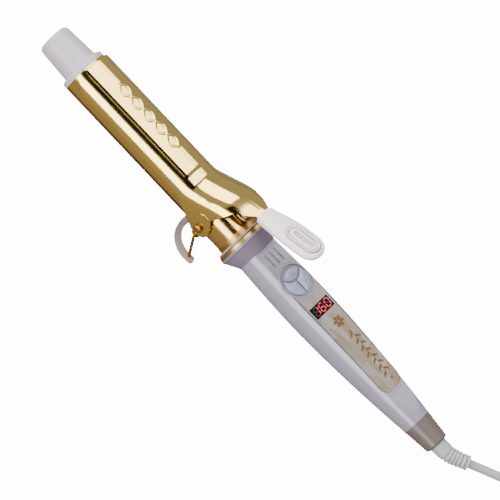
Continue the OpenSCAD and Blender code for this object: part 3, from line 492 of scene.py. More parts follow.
def arm_edge(x):
    """Height of the arm's lower edge: down round the hinge, then steeply up behind it to the lever."""
    if x <= ARM_LOW_X:
        return curve_through(x, EAR_EDGE)
    rear = [(ARM_LOW_X, -6.5), (154, 14), (160.2, crown(160.2) - 4.8), (171.6, crown(171.6) - 0.9),
            (173, crown(173) - 0.9)]
    for (x1, z1), (x2, z2) in zip(rear, rear[1:]):
        if x <= x2:
            return z1 + (z2 - z1) * (x - x1) / (x2 - x1)
    return rear[-1][1]


def sheet_reach(x):
    """Length of the sheet from its crown to its edge, round the arch and then straight down."""
    trough, front = CLIP_OUT * CLIP_ANGLE, CLIP_OUT * FRONT_ANGLE
    if x < CLIP_FRONT + CLIP_CORNER:
        u = (CLIP_FRONT + CLIP_CORNER - x) / CLIP_CORNER
        return front + (trough - front) * math.sqrt(max(0, 1 - u * u))
    if x < CREASE_X:
        return trough
    arch = arch_radius(x)
    centre, edge = crown(x) - arch, arm_edge(x)
    if edge > centre:
        return math.acos(min(1, (edge - centre) / arch)) * arch
    return arch * math.pi / 2 + centre - edge


def braid(x, across):
    """Height of the embossed braid: two ribbons that cross and part like a plait."""
    along = (x - BRAID_FRONT) / BRAID_PITCH
    if not 0 <= along <= BRAID_LOOPS:
        return 0
    swing = BRAID_HALF * math.sin(math.pi * along)
    slope = BRAID_HALF * math.pi / BRAID_PITCH * math.cos(math.pi * along)
    away = min(abs(across - swing), abs(across + swing)) / math.hypot(1, slope)
    return BRAID_RISE * (1 - eased(away, BRAID_LINE - 0.25, BRAID_LINE + 0.35))


def relief(x, across):
    """How far the pressed rib and its braid stand out of the sheet."""
    rib = (1 - eased(abs(across), RIB_HALF - RIB_STEP / 2, RIB_HALF + RIB_STEP / 2)) * RIB_RISE
    rib *= eased(x, RIB_FRONT, RIB_FRONT + 3) * (1 - eased(x, RIB_END - 2.2, RIB_END + 0.4))
    return rib + braid(x, across)


def sheet_point(x, way, inset):
    arch = arch_radius(x)
    centre, run, quarter = crown(x) - arch, abs(way) * sheet_reach(x), arch * math.pi / 2
    side = -1 if way < 0 else 1
    out = arch + (relief(x, side * run) if inset == 0 else 0) - inset
    if run < quarter:
        return x, side * out * math.sin(run / arch), centre + out * math.cos(run / arch)
    return x, side * out, centre - (run - quarter)


def stations(*spans):
    """Places along the iron, from each span's start to its end in steps of its third number."""
    places = []
    for start, end, step in spans:
        count = math.ceil((end - start) / step)
        places += [start + (end - start) * i / count for i in range(count)]
    return places + [spans[-1][1]]


clip_places = stations((CLIP_FRONT, 33, 0.2), (33, 45, 0.8), (45, 51, 1.5), (51, 107, 0.5), (107, 121, 1.5),
                       (121, 131, 0.4), (131, ARM_LOW_X, 1.4), (ARM_LOW_X, 154, 0.2), (154, CLIP_END, 1.5))
SHEET_HALF = 60            # points from the crown to an edge
clip_verts = []
for x in clip_places:
    ways = [i / SHEET_HALF for i in range(-SHEET_HALF, SHEET_HALF + 1)]
    clip_verts += [sheet_point(x, way, 0) for way in ways]
    clip_verts.append(sheet_point(x, EDGE_ROUND, CLIP_SHEET / 2))
    clip_verts += [sheet_point(x, way, CLIP_SHEET) for way in reversed(ways)]
    clip_verts.append(sheet_point(x, -EDGE_ROUND, CLIP_SHEET / 2))
flat = 2 * SHEET_HALF + 1
ring = 2 * flat + 2
clip_faces = ring_faces(len(clip_places), ring)
for start in (0, (len(clip_places) - 1) * ring):
    for i in range(flat - 1):
        clip_faces.append((start + i, start + i + 1, start + 2 * flat - 1 - i, start + 2 * flat - i))
    clip_faces.append((start + flat - 1, start + flat, start + flat + 1))
    clip_faces.append((start + ring - 1, start, start + ring - 2))


def add_part(verts, faces, more_verts, more_faces):
    """Put more points and faces into a mesh."""
    base = len(verts)
    verts += more_verts
    faces += [tuple(base + k for k in face) for face in more_faces]


def plate_part(outline, y_in, y_out, round_edge):
    """A flat plate across the iron from its outline in x and z, its outer edge rounded over."""
    verts, n, side = [], len(outline), 1 if y_out > y_in else -1
    middle = Vector((sum(p[0] for p in outline) / n, sum(p[1] for p in outline) / n))
    levels = [(y_in, 0)]
    for k in range(5):
        turn_by = math.pi / 2 * k / 4
        levels.append((y_out - side * round_edge * (1 - math.sin(turn_by)),
                       round_edge * (1 - math.cos(turn_by))))
    for y, inset in levels:
        for p in outline:
            away = Vector(p) - middle
            place = middle + away * max(0, 1 - inset / away.length)
            verts.append((place.x, y, place.y))
    return verts, closed_faces(len(levels), n)


EAR_R, EAR_IN, EAR_OUT, EAR_ROUND = 7.4, 17.45, 18.42, 0.3
ear_outline = [(HINGE_X + EAR_R * math.cos(math.radians(a)), HINGE_Z + EAR_R * math.sin(math.radians(a)))
               for a in range(185, 366, 10)]
ear_outline += [(HINGE_X + 5.6, 6), (HINGE_X + 2.2, 13), (HINGE_X - 3, 13), (HINGE_X - EAR_R, 9)]
for side in (-1, 1):
    add_part(clip_verts, clip_faces, *plate_part(ear_outline, side * EAR_IN, side * EAR_OUT, EAR_ROUND))
gilt_clip = finish("gilt_clip", rgb(232, 201, 116), rgb(226, 194, 105), 0.09, 0.15, grain=2500, bump=0.008,
                   scuff_scale=120, stretch=(1, 5, 5), Metallic=1.0)
finish_piece("clip_sheet", "clip", "gilt_clip", gilt_clip, clip_verts, clip_faces, crease=50,
             replaces=("clip_plate",))


# ---- Clip spring ----
# A torsion spring in hard steel wire: four and a half turns across the iron under the arm, one leg on the
# barrel and one up to the arm.

SPRING_X, SPRING_Z, COIL_R, WIRE_R = 165.8, 22.4, 3.9, 0.6
COIL_TURNS, COIL_STEPS, COIL_SPACING = 4.5, 30, 1.15
COIL_HALF = COIL_TURNS * WIRE_R * COIL_SPACING
LEG_REST, SPRING_FLOOR = 17.3, 16.8        # heights of the low leg and of the place that it flattens on

coil = []
for step in range(int(COIL_TURNS * COIL_STEPS) + 1):
    angle = 2 * math.pi * step / COIL_STEPS
    coil.append(Vector((SPRING_X + COIL_R * math.sin(angle),
                        COIL_HALF * (2 * step / (COIL_TURNS * COIL_STEPS) - 1),
                        SPRING_Z - COIL_R * math.cos(angle))))
low_leg = [Vector((SPRING_X - 14, -COIL_HALF, LEG_REST)),
           Vector((SPRING_X - 7, -COIL_HALF, SPRING_Z - COIL_R - 0.6))]
high_leg = [Vector((SPRING_X - 5, COIL_HALF, SPRING_Z + COIL_R + 0.5)),
            Vector((SPRING_X - 12, COIL_HALF, SPRING_Z + COIL_R - 0.5))]
wire_line = low_leg + coil + high_leg
spring_wire = finish("spring_wire", rgb(150, 128, 92), rgb(132, 112, 80), 0.28, 0.42, grain=6000,
                     Metallic=1.0)
spring_piece = finish_piece("coil_spring", "body", "spring_steel", spring_wire,
                            *round_sweep(wire_line, [WIRE_R] * len(wire_line), 10), replaces=("clip_spring",))
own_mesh(spring_piece)


# ---- Thumb lever ----
# The lever is moulded in ivory heat-proof plastic and riveted over the end of the clip's arm. Its end is
# round, and a raised oval inside another marks where the thumb presses.

LEVER_X, LEVER_SLOPE = 171.6, math.radians(19)
LEVER_END, LEVER_ROUND, LEVER_CORNER = 47.1, 9.8, 2.6
LEVER_FRONT, LEVER_ROWS, LEVER_SIDES = 1.8, 130, 128
OVAL_X, OVAL_HALF = 32.0, 6.2
RIDGE_HIGH, GROOVE_LOW, GROOVE_AWAY, DISH_LOW = 0.8, 0.45, 1.15, 0.15
SHADE_LINE_HALF, SHADE_LINE_RADII = 6.0, (4.3, 6.2, 1.1)         # painted shade: dark lines along the ovals' grooves, standing in for their shadow
lever_to_iron = Matrix.Translation((LEVER_X, 0, crown(LEVER_X))) @ Matrix.Rotation(-LEVER_SLOPE, 4, "Y")


def lever_half_width(x):
    wide = curve_through(x, [(0, 6.6), (8, 7.7), (16, 9.0), (24, 9.9), (34, 9.95), (37.3, 9.8), (60, 9.6)])
    if x < LEVER_CORNER:
        wide -= LEVER_CORNER - math.sqrt(max(0, LEVER_CORNER ** 2 - (LEVER_CORNER - x) ** 2))
    if x > LEVER_END - LEVER_ROUND:
        wide *= math.sqrt(max(0, 1 - ((x - LEVER_END + LEVER_ROUND) / LEVER_ROUND) ** 2.2))
    return wide


def lever_top(x):
    return curve_through(x, [(0, 0.1), (3, 0.65), (10, 0.8), (20, 0.7), (30, 0.3), (40, -0.3),
                             (LEVER_END, -1.3)])


def lever_bottom(x):
    return curve_through(x, [(0, -6.2), (4, -6.8), (12, -6.2), (22, -5.5), (32, -5.7), (40, -6.0),
                             (LEVER_END, -5.2)])


def thumb_ovals(x, y):
    """Height of the two raised ovals under the thumb, with a groove beside each and a dish inside them."""
    rise = 0
    for half, radius in ((OVAL_HALF, 5.3), (5.2, 2.2)):
        away = abs(math.hypot(max(0, abs(x - OVAL_X) - half), y) - radius)
        rise = max(rise, RIDGE_HIGH * (1 - eased(away, 0.35, 0.8))
                   - GROOVE_LOW * (1 - eased(abs(away - GROOVE_AWAY), 0.2, 0.5)))
    past = max(0, abs(x - OVAL_X) - OVAL_HALF)
    return rise - DISH_LOW * (1 - eased(math.hypot(past, y), 5.0, 5.6))


def lever_mesh():
    """The lever's skin: rounded rows from front to end, closer together at both ends."""
    verts = []
    places = [LEVER_END * (1 - math.cos(math.pi * i / LEVER_ROWS)) / 2 for i in range(LEVER_ROWS + 1)]
    for x in places:
        half = max(lever_half_width(x), 0.02)
        end_x = max(0, (x - (LEVER_END - LEVER_CORNER)) / LEVER_CORNER)
        front_x = max(0, (LEVER_FRONT - x) / LEVER_FRONT)
        thin = math.sqrt(max(0.0004, 1 - end_x ** 2)) * (1 - 0.45 * front_x ** 2)
        top, bottom = lever_top(x), lever_bottom(x)
        middle, tall = (top + bottom) / 2, (top - bottom) / 2 * thin
        for k in range(LEVER_SIDES):
            angle = 2 * math.pi * k / LEVER_SIDES
            c, s = math.cos(angle), math.sin(angle)
            y = half * math.copysign(abs(c) ** 0.72, c)
            z = middle + tall * math.copysign(abs(s) ** 0.62, s)
            if s > 0:
                z += thumb_ovals(x, y) * min(1, s * 2)
            verts.append(tuple(lever_to_iron @ Vector((x, y, z))))
    return verts, closed_faces(len(places), LEVER_SIDES)


lever_plastic = finish("lever_plastic", rgb(240, 229, 224), rgb(233, 222, 217), 0.38, 0.5, bump=0.04,
                       Coat_Weight=0.25, Coat_Roughness=0.25)
# Painted shade: the lever's colour is mixed towards a dark mauve along the ovals' grooves, in place of the
# shadow in them. The line attribute holds that mask.
lever_nodes, lever_links = lever_plastic.node_tree.nodes, lever_plastic.node_tree.links
lever_groove_shade = lever_nodes.new("ShaderNodeAttribute")
lever_groove_shade.attribute_name = "line"
lever_color = lever_nodes["Principled BSDF"].inputs["Base Color"]
lever_tone = lever_color.links[0].from_socket
lever_shade = lever_nodes.new("ShaderNodeMix")
lever_shade.data_type = "RGBA"
lever_shade.inputs["B"].default_value = (*rgb(132, 112, 108), 1)
lever_links.new(lever_groove_shade.outputs["Fac"], lever_shade.inputs["Factor"])
lever_links.new(lever_tone, lever_shade.inputs["A"])
lever_links.new(lever_shade.outputs["Result"], lever_color)
lever_piece = finish_piece("lever_body", "clip", "lever_plastic", lever_plastic, *lever_mesh(), crease=60,
                           replaces=("thumb_lever",))
# The mask of the painted groove shade, on the lever's upper side only.
lever_home = (level_to_table @ lever_to_iron).inverted()
groove_shade_values = []
for vertex in lever_piece.data.vertices:
    spot = lever_home @ vertex.co
    reach = math.hypot(max(0, abs(spot.x - OVAL_X) - SHADE_LINE_HALF), spot.y)
    line = max(1 - eased(abs(reach - radius), 0.15, 0.6) for radius in SHADE_LINE_RADII)
    groove_shade_values.append(line if spot.z > -2 else 0.0)
lever_piece.data.attributes.new("line", "FLOAT", "POINT").data.foreach_set("value", groove_shade_values)
rivet_steel = finish("rivet_steel", rgb(190, 188, 184), rgb(178, 176, 172), 0.3, 0.4, Metallic=1.0)
dress(rivet_steel, "lever_rivets")


# ---- Guard, handle shells and end cap ----
# Two pearl shells moulded in ABS and screwed together from below; the heat guard, its rim and the end cap are
# rings of their own. The upper shell carries a shallow dish for the buttons and three sink lines at its neck.

pearl = finish("pearl_plastic", rgb(142, 135, 151), rgb(134, 127, 143), 0.24, 0.34, bump=0.03,
               Coat_Weight=0.6, Coat_Roughness=0.12)
# Painted shade: the heat guard gets a darker copy of the shells' pearl, standing in for the shade on its
# sloping cone.
guard_shade_pearl = finish("mauve_plastic", rgb(118, 107, 124), rgb(109, 98, 115), 0.32, 0.44, bump=0.03,
               Coat_Weight=0.4, Coat_Roughness=0.2)
taupe = finish("taupe_plastic", rgb(98, 86, 81), rgb(90, 79, 75), 0.4, 0.5, bump=0.03, Coat_Weight=0.2)
dress(pearl, "guard_rim", "handle_upper", "handle_lower")
dress(guard_shade_pearl, "heat_guard")
dress(taupe, "end_cap")


# ---- Control panel ----
# A printed plate let into the top shell: pearl with darker slanting bands, edged by a fine dark line. A
# rosette and a spray of leaves are stamped on it in gilt foil.

NECK_X, HANDLE_LENGTH, PEAK = 188.7, 145.9, 0.345
NECK_R, BELLY_R, TAIL_R = 14.4, 15.9, 10.1
FLAT_Z, FACET_SHARE = 11.11, 0.71
DISH_X, PANEL_END = 218.3, 309.1
PANEL_WIDE, PANEL_NARROW, PANEL_CORNER = 11, 9.4, 6.4
PANEL_TOP, FOIL_RISE = 0.1, 0.13           # the plate's face and the foil's middle, over the facet


def handle_radius(x):
    u = (x - NECK_X) / HANDLE_LENGTH
    if u < PEAK:
        return NECK_R + (BELLY_R - NECK_R) * math.sin(math.pi / 2 * max(u, 0) / PEAK)
    return BELLY_R - (BELLY_R - TAIL_R) * ((u - PEAK) / (1 - PEAK)) ** 1.7


def facet_height(x):
    return FLAT_Z if x < DISH_X + 16 else min(FLAT_Z, FACET_SHARE * handle_radius(x))


def panel_half_width(x):
    """Half the plate's width: it narrows towards the tail and ends in two round corners."""
    start, end = DISH_X + 3, PANEL_END - PANEL_CORNER
    if x <= end:
        return PANEL_WIDE + (PANEL_NARROW - PANEL_WIDE) * (x - start) / (end - start)
    return PANEL_NARROW - PANEL_CORNER + math.sqrt(max(0, PANEL_CORNER ** 2 - (x - end) ** 2))


def print_tree():
    """Small flat shapes, one at each point and turned by its own angle: leaves, petals, lamps or signs."""
    tree = bpy.data.node_groups.new("flat_shapes", "GeometryNodeTree")
    socket(tree, "Points", "NodeSocketGeometry", "INPUT")
    for name, kind, value in (("Sides", "NodeSocketInt", 24), ("Length", "NodeSocketFloat", 1.0),
                              ("Width", "NodeSocketFloat", 0.5), ("Thickness", "NodeSocketFloat", 0.1),
                              ("Finish", "NodeSocketMaterial", None)):
        socket(tree, name, kind, "INPUT", value)
    socket(tree, "Shapes", "NodeSocketGeometry", "OUTPUT")
    nodes, links = tree.nodes, tree.links
    start, end = nodes.new("NodeGroupInput"), nodes.new("NodeGroupOutput")
    disc = nodes.new("GeometryNodeMeshCylinder")
    disc.inputs["Radius"].default_value = 0.5
    size = nodes.new("ShaderNodeCombineXYZ")
    stretch = nodes.new("GeometryNodeTransform")
    turned = nodes.new("GeometryNodeInputNamedAttribute")
    turned.data_type = "FLOAT"
    turned.inputs["Name"].default_value = "turn"
    turn_z = nodes.new("ShaderNodeCombineXYZ")
    place = nodes.new("GeometryNodeInstanceOnPoints")
    real = nodes.new("GeometryNodeRealizeInstances")
    paint = nodes.new("GeometryNodeSetMaterial")
    links.new(start.outputs["Sides"], disc.inputs["Vertices"])
    links.new(start.outputs["Thickness"], disc.inputs["Depth"])
    links.new(start.outputs["Length"], size.inputs["X"])
    links.new(start.outputs["Width"], size.inputs["Y"])
    size.inputs["Z"].default_value = 1.0
    links.new(disc.outputs["Mesh"], stretch.inputs["Geometry"])
    links.new(size.outputs["Vector"], stretch.inputs["Scale"])
    links.new(turned.outputs["Attribute"], turn_z.inputs["Z"])
    links.new(start.outputs["Points"], place.inputs["Points"])
    links.new(stretch.outputs["Geometry"], place.inputs["Instance"])
    links.new(turn_z.outputs["Vector"], place.inputs["Rotation"])
    links.new(place.outputs["Instances"], real.inputs["Geometry"])
    links.new(real.outputs["Geometry"], paint.inputs["Geometry"])
    links.new(start.outputs["Finish"], paint.inputs["Material"])
    links.new(paint.outputs["Geometry"], end.inputs["Shapes"])
    return tree


flat_shapes = print_tree()


def print_shapes(name, slot, material, places, length, width, thickness, sides=24, body="body"):
    """Flat shapes at places (x, y, z, turn) on the level iron, as one plain mesh."""
    points = bpy.data.meshes.new(name + "_points")
    points.from_pydata([place[:3] for place in places], [], [])
    turns = points.attributes.new("turn", "FLOAT", "POINT")
    turns.data.foreach_set("value", [place[3] for place in places])
    host = add_object(name + "_host", points)
    shapes = host.modifiers.new("shapes", "NODES")
    shapes.node_group = flat_shapes
    given = {"Sides": sides, "Length": length, "Width": width, "Thickness": thickness, "Finish": material}
    for item in flat_shapes.interface.items_tree:
        if item.in_out == "INPUT" and item.name in given:
            shapes[item.identifier] = given[item.name]
    bpy.context.view_layer.update()
    seen = host.evaluated_get(bpy.context.evaluated_depsgraph_get())
    mesh = bpy.data.meshes.new_from_object(seen)
    host.modifiers.remove(shapes)
    bpy.data.objects.remove(host)
    mesh.transform(level_to_table)
    mesh.name = name
    piece = add_object(name, mesh)
    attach(piece, body)
    return piece


panel_print = finish("panel_print", rgb(158, 150, 136), rgb(146, 134, 114), 0.22, 0.36, bump=0.02,
                     Coat_Weight=0.6, Coat_Roughness=0.1)
print_nodes, print_links = panel_print.node_tree.nodes, panel_print.node_tree.links
panel_place = print_nodes.new("ShaderNodeTexCoord")
panel_turn = print_nodes.new("ShaderNodeMapping")
panel_turn.inputs["Rotation"].default_value = (0, 0, math.radians(38))
panel_turn.inputs["Scale"].default_value = (1, 2.2, 1)
panel_bands = print_nodes.new("ShaderNodeTexVoronoi")
panel_bands.inputs["Scale"].default_value = 95
panel_edge = print_nodes.new("ShaderNodeValToRGB")
panel_edge.color_ramp.elements[0].position = 0.3
panel_edge.color_ramp.elements[0].color = (*rgb(142, 136, 130), 1)
panel_edge.color_ramp.elements[1].position = 0.75
panel_edge.color_ramp.elements[1].color = (*rgb(128, 114, 94), 1)
print_links.new(panel_place.outputs["Object"], panel_turn.inputs["Vector"])
print_links.new(panel_turn.outputs["Vector"], panel_bands.inputs["Vector"])
print_links.new(panel_bands.outputs["Color"], panel_edge.inputs[0])
print_links.new(panel_edge.outputs["Color"], print_nodes["Principled BSDF"].inputs["Base Color"])
dress(panel_print, "control_panel")


EDGE_HALF, EDGE_RISE, EDGE_SUNK, EDGE_SIDES = 0.38, 0.12, 0.02, 8


def panel_edging():
    """A fine dark line round the plate: a low bead that follows its outline and its slope."""
    corner_x = PANEL_END - PANEL_CORNER
    places = stations((DISH_X + 6, corner_x, 4), (corner_x, PANEL_END, 0.4))
    left = [(x, panel_half_width(x)) for x in places]
    outline = left + [(x, -y) for x, y in reversed(left)]
    verts, faces = [], []
    for k, (x, y) in enumerate(outline):
        x1, y1 = outline[max(k - 1, 0)]
        x2, y2 = outline[min(k + 1, len(outline) - 1)]
        side = Vector((y2 - y1, x1 - x2, 0)).normalized()
        place = Vector((x, y, facet_height(min(x, PANEL_END)) + PANEL_TOP - EDGE_SUNK))
        for step in range(EDGE_SIDES):
            angle = 2 * math.pi * step / EDGE_SIDES
            spot = place + EDGE_HALF * math.cos(angle) * side
            verts.append((spot.x, spot.y, spot.z + EDGE_RISE * math.sin(angle)))
    return verts, closed_faces(len(outline), EDGE_SIDES)


# The bead is the plate's dark outline, made wider and darker as painted shade along its edge and a painted
# reflection at its tail.
outline_and_shade = finish("panel_line", rgb(70, 60, 62), rgb(62, 54, 56), 0.4, 0.5)
finish_piece("panel_line", "body", "panel_plastic", outline_and_shade, *panel_edging())


def on_facet(x, y, turned):
    """Place of a foil shape on the handle's facet."""
    return x, y, facet_height(x) + FOIL_RISE, turned


foil_gilt = finish("foil_gilt", rgb(112, 70, 24), rgb(98, 60, 18), 0.36, 0.46, Metallic=0.3)
ROSETTE_X, ROSETTE_Y, PETALS, PETAL_OUT = 254.5, 2.0, 6, 2.5
LEAVES, LEAF_X, LEAF_STEP, LEAF_OUT, LEAF_TURN = 13, 266.5, 2.7, 1.7, 0.95
STEM_PARTS, STEM_X, STEM_STEP = 15, 266, 2.4
SPRIG_Y, SPRIG_SWAY = 3.4, 0.5
petals = []
for k in range(PETALS):
    way = math.pi / 3 * k + 0.3
    petals.append((ROSETTE_X + PETAL_OUT * math.cos(way), ROSETTE_Y + PETAL_OUT * math.sin(way),
                   facet_height(ROSETTE_X) + FOIL_RISE, way))
leaves = []
for k in range(LEAVES):
    side = 1 if k % 2 else -1
    middle = SPRIG_Y + SPRIG_SWAY * math.sin(k * 0.9)
    leaves.append(on_facet(LEAF_X + LEAF_STEP * k, middle + LEAF_OUT * side, side * LEAF_TURN))
stem = [on_facet(STEM_X + STEM_STEP * k, SPRIG_Y + SPRIG_SWAY * math.sin(k * 0.8), 0.12 * math.cos(k * 0.8))
        for k in range(STEM_PARTS)]
buds = [on_facet(264.2, 3.2, 0), on_facet(303, SPRIG_Y, 0)]
print_shapes("rosette_petals", "gilt_foil", foil_gilt, petals, 3.5, 2.1, 0.16)
print_shapes("sprig_leaves", "gilt_foil", foil_gilt, leaves, 4.2, 1.5, 0.18)
print_shapes("sprig_stem", "gilt_foil", foil_gilt, stem, 2.8, 0.4, 0.18, sides=12)
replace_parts(print_shapes("sprig_buds", "gilt_foil", foil_gilt, buds, 1.8, 1.8, 0.18), "panel_foil")


# ---- Display ----
# A black window over a three-digit light-emitting module; each digit has seven bar lamps, and those that are
# off show as faint bars.

DISPLAY_X, DIGIT_TALL, DIGIT_WIDE, DIGIT_STEP = 241.0, 5.6, 3.6, 5.5
DIGITS_Y, DIGIT_LEAN, LAMP_RISE, LAMP_LONG, LAMP_WIDE = 0.3, 0.12, 0.07, 2.7, 1.0
SHOWN = ("bc", "acdefg", "abcdef")       # the lamps that are lit: one hundred and sixty
window = finish("display_black", rgb(10, 8, 10), rgb(14, 12, 14), 0.12, 0.2, bump=0.0,
                Specular_IOR_Level=0.12)
dress(window, "display_window")


def digit_bars(lit):
    """Places of the lamps that are on or off. A digit reads across the handle, its top towards the tip."""
    half, tall = DIGIT_WIDE / 2, DIGIT_TALL / 2
    bars = {"a": (0, tall, 0), "b": (half, tall / 2, 1), "c": (half, -tall / 2, 1), "d": (0, -tall, 0),
            "e": (-half, -tall / 2, 1), "f": (-half, tall / 2, 1), "g": (0, 0, 0)}
    places, level = [], facet_height(DISPLAY_X) + LAMP_RISE
    for k, shown in enumerate(SHOWN):
        for name, (across, up_by, upright) in bars.items():
            if (name in shown) == lit:
                y = DIGITS_Y + (k - 1) * DIGIT_STEP + across + DIGIT_LEAN * up_by
                places.append((DISPLAY_X - up_by, y, level, 0 if upright else math.pi / 2))
    return places


lamp_on = finish("lamp_on", rgb(120, 6, 24), rgb(110, 5, 20), 0.4, 0.5, bump=0.0,
                 Emission_Color=(1.0, 0.004, 0.075, 1), Emission_Strength=1.5)
lamp_off = finish("lamp_off", rgb(24, 20, 23), rgb(22, 18, 21), 0.4, 0.5, bump=0.0)
print_shapes("lamps_on", "display_black", lamp_on, digit_bars(True), LAMP_LONG, LAMP_WIDE, 0.1, sides=6)
print_shapes("lamps_off", "display_black", lamp_off, digit_bars(False), LAMP_LONG, LAMP_WIDE, 0.06, sides=6)


# ---- Buttons ----
# Three keys moulded in pale blue-grey resin stand in one round dish: a lens-shaped key for power, and two for
# up and down. Each is a separate moulding with a small sign printed on it.

button_resin = finish("button_plastic", rgb(150, 155, 182), rgb(141, 146, 172), 0.28, 0.38, bump=0.02,
                      Coat_Weight=0.5, Coat_Roughness=0.1)
dress(button_resin, "power_button", "plus_button", "minus_button")
KEY_GROUP_R, LENS_AT, LENS_R, KEY_GAP = 9.4, -9.9, 8.2, 0.45
KEY_BASE, KEY_DOME, KEY_SKIRT, KEY_ROWS, KEY_SIDES = FLAT_Z + 0.18, 0.75, 0.3, 7, 96
KEY_TOP, KEY_INSET = KEY_BASE + KEY_DOME, 0.12
POWER_AT, PLUS_AT = Vector((-5.6, 0)), Vector((2.6, 4.4))


def in_power(x, y):
    """How far a place in the dish is inside the power key's outline; negative is outside."""
    return min(KEY_GROUP_R - math.hypot(x, y), LENS_R - math.hypot(x - LENS_AT, y))


def in_side_key(x, y):
    """The same for the plus key; the minus key mirrors it."""
    return min(KEY_GROUP_R - math.hypot(x, y), math.hypot(x - LENS_AT, y) - LENS_R - 2 * KEY_GAP, y - KEY_GAP)


def key_dome(inside, middle, mirror=1):
    """The domed top of a key: its outline, drawn in ring by ring to its middle and raised as a pillow."""
    outline = []
    for k in range(KEY_SIDES):
        way = Vector((math.cos(2 * math.pi * k / KEY_SIDES), math.sin(2 * math.pi * k / KEY_SIDES)))
        low, high = 0.0, 20.0
        while high - low > 2e-6:
            reach = (low + high) / 2
            place = middle + reach * way
            low, high = (reach, high) if inside(place.x, place.y) > KEY_INSET else (low, reach)
        outline.append(middle + low * way)
    verts = []
    for row in range(KEY_ROWS):
        share = row / KEY_ROWS
        rise = KEY_DOME * (1 - (1 - share) ** 2.6)
        for place in outline:
            spot = place.lerp(middle, share ** 1.5)
            verts.append((DISH_X + spot.x, mirror * spot.y, KEY_BASE + rise - (0 if row else KEY_SKIRT)))
    verts.append((DISH_X + middle.x, mirror * middle.y, KEY_TOP))
    verts.append((DISH_X + middle.x, mirror * middle.y, KEY_BASE - KEY_SKIRT))
    faces = ring_faces(KEY_ROWS, KEY_SIDES)
    top, bottom, last = len(verts) - 2, len(verts) - 1, (KEY_ROWS - 1) * KEY_SIDES
    for k in range(KEY_SIDES):
        faces.append((last + k, last + (k + 1) % KEY_SIDES, top))
        faces.append(((k + 1) % KEY_SIDES, k, bottom))
    return verts, faces


finish_piece("power_dome", "power_key", "button_plastic", button_resin, *key_dome(in_power, POWER_AT))
finish_piece("plus_dome", "plus_key", "button_plastic", button_resin, *key_dome(in_side_key, PLUS_AT))
finish_piece("minus_dome", "minus_key", "button_plastic", button_resin,
             *key_dome(in_side_key, PLUS_AT, mirror=-1))


def dish_bead(radius, wide, tall, sides=120, section=10):
    """A low bead moulded round the dish, lying on the facet and down over the handle's round sides."""
    verts = []
    for k in range(sides):
        way = 2 * math.pi * k / sides
        for step in range(section):
            angle = 2 * math.pi * step / section
            reach = radius + wide * math.cos(angle)
            x, y = DISH_X + reach * math.cos(way), reach * math.sin(way)
            ground = min(FLAT_Z, math.sqrt(handle_radius(x) ** 2 - y ** 2))
            verts.append((x, y, ground + tall * math.sin(angle)))
    verts += verts[:section]
    return verts, ring_faces(sides + 1, section)


finish_piece("dish_bead", "body", "pearl_plastic", pearl, *dish_bead(12.1, 0.5, 0.4))
sign_ink = finish("sign_ink", rgb(100, 102, 128), rgb(94, 96, 120), 0.45, 0.5)
SIGN_X, SIGN_Y, SIGN_STROKE, SIGN_THICK = DISH_X + 3.6, 4.6, (2.2, 0.4), 0.06
RING_X, RING_R, RING_PARTS = DISH_X - 5.6, 1.5, 12
ring_angles = [math.radians(40 + 25.5 * k) for k in range(RING_PARTS)]
power_places = [(RING_X + RING_R * math.cos(a), RING_R * math.sin(a), KEY_TOP, a + math.pi / 2)
                for a in ring_angles] + [(DISH_X - 4.6, 0, KEY_TOP, 0)]
plus_places = [(SIGN_X, SIGN_Y, KEY_TOP, 0), (SIGN_X, SIGN_Y, KEY_TOP, math.pi / 2)]
minus_places = [(SIGN_X, -SIGN_Y, KEY_TOP, math.pi / 2)]
for name, places, stroke in (("power", power_places, (1.0, 0.32)), ("plus", plus_places, SIGN_STROKE),
                             ("minus", minus_places, SIGN_STROKE)):
    print_shapes(name + "_sign", "button_plastic", sign_ink, places, *stroke, SIGN_THICK, sides=10,
                 body=name + "_key")


# ---- Rest ----
# A stand that folds under the barrel, on the clip's two pins: two bent wire legs in satin gilt, pressed into
# a moulded foot.

foot = finish("foot_plastic", rgb(160, 146, 136), rgb(150, 136, 127), 0.5, 0.6, bump=0.05)
dress(foot, "rest_foot")
dress(gilt_satin, "rest_leg_left", "rest_leg_right")


# ---- Tie and plug ----
# The cord's plug is moulded on in the same soft vinyl: flat, with two nickel-plated blades. A woven strap
# holds the hank.

dress(cord_vinyl, "plug_body")
nickel = finish("nickel", rgb(186, 184, 178), rgb(174, 172, 166), 0.22, 0.34, grain=6000, Metallic=1.0)
strap = finish("strap_fabric", rgb(58, 56, 60), rgb(46, 45, 49), 0.8, 0.9, grain=3500, bump=0.5)
dress(nickel, "plug_blades")
dress(strap, "cord_tie")


# ---- Inside the barrel ----
# A flat ceramic element lies between two half-round aluminium shoes in a mica sleeve. The thermal fuse and
# the sensor sit beside it, and sleeved leads run back to the handle.

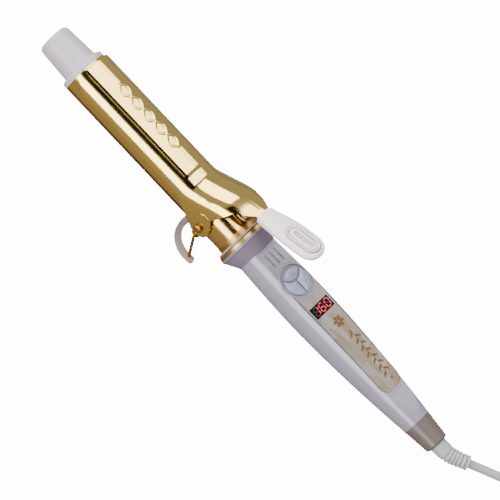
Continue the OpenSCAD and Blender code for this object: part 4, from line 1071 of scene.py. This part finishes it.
cast_metal = finish("cast_aluminium", rgb(168, 168, 170), rgb(150, 150, 153), 0.42, 0.55, grain=2500,
                    bump=0.2, Metallic=1.0)
mica = finish("mica_sheet", rgb(176, 158, 118), rgb(150, 130, 92), 0.5, 0.65, mottle=240, bump=0.1)
ceramic = finish("alumina", rgb(222, 218, 208), rgb(208, 204, 194), 0.55, 0.65, grain=8000, bump=0.15)
sensor_glass = finish("sensor_glass", rgb(166, 92, 40), rgb(150, 80, 34), 0.12, 0.2, bump=0.0)
lead_sleeve = finish("glass_fibre_sleeve", rgb(214, 208, 192), rgb(196, 188, 170), 0.75, 0.85, grain=6000,
                     bump=0.4)
dress(cast_metal, "heater_upper", "heater_lower")
dress(mica, "insulation_sleeve")
dress(ceramic, "ceramic_element")
dress(nickel, "thermal_fuse")
dress(sensor_glass, "temperature_sensor")
dress(lead_sleeve, "heater_leads")


# ---- Inside the handle ----
# A green glass-epoxy board carries the switches, the lamp module, the transistor, the capacitor and the
# potted power module. A moulded clamp grips the cord, and steel screws hold the board and the shells.

board = finish("glass_epoxy", rgb(20, 78, 44), rgb(16, 66, 38), 0.3, 0.42, mottle=400, bump=0.03,
               Coat_Weight=0.5)
black_resin = finish("black_resin", rgb(24, 24, 26), rgb(32, 32, 34), 0.5, 0.6, grain=5000, bump=0.15)
dress(finish("capacitor_sleeve", rgb(28, 40, 84), rgb(24, 34, 72), 0.3, 0.4), "capacitor")
dress(finish("module_case", rgb(36, 70, 128), rgb(32, 62, 116), 0.42, 0.52, bump=0.08), "power_module")
dress(finish("clamp_nylon", rgb(206, 204, 196), rgb(194, 192, 184), 0.5, 0.6, bump=0.08), "cord_clamp")
dress(finish("wire_vinyl", rgb(96, 58, 36), rgb(88, 52, 32), 0.42, 0.52), "supply_wires")
screw_steel = finish("screw_steel", rgb(150, 148, 150), rgb(136, 134, 138), 0.3, 0.42, grain=6000,
                     Metallic=1.0)
dress(board, "circuit_board")
dress(black_resin, "display_module", "key_switches", "switching_transistor")
dress(screw_steel, "board_screws", "handle_screws")
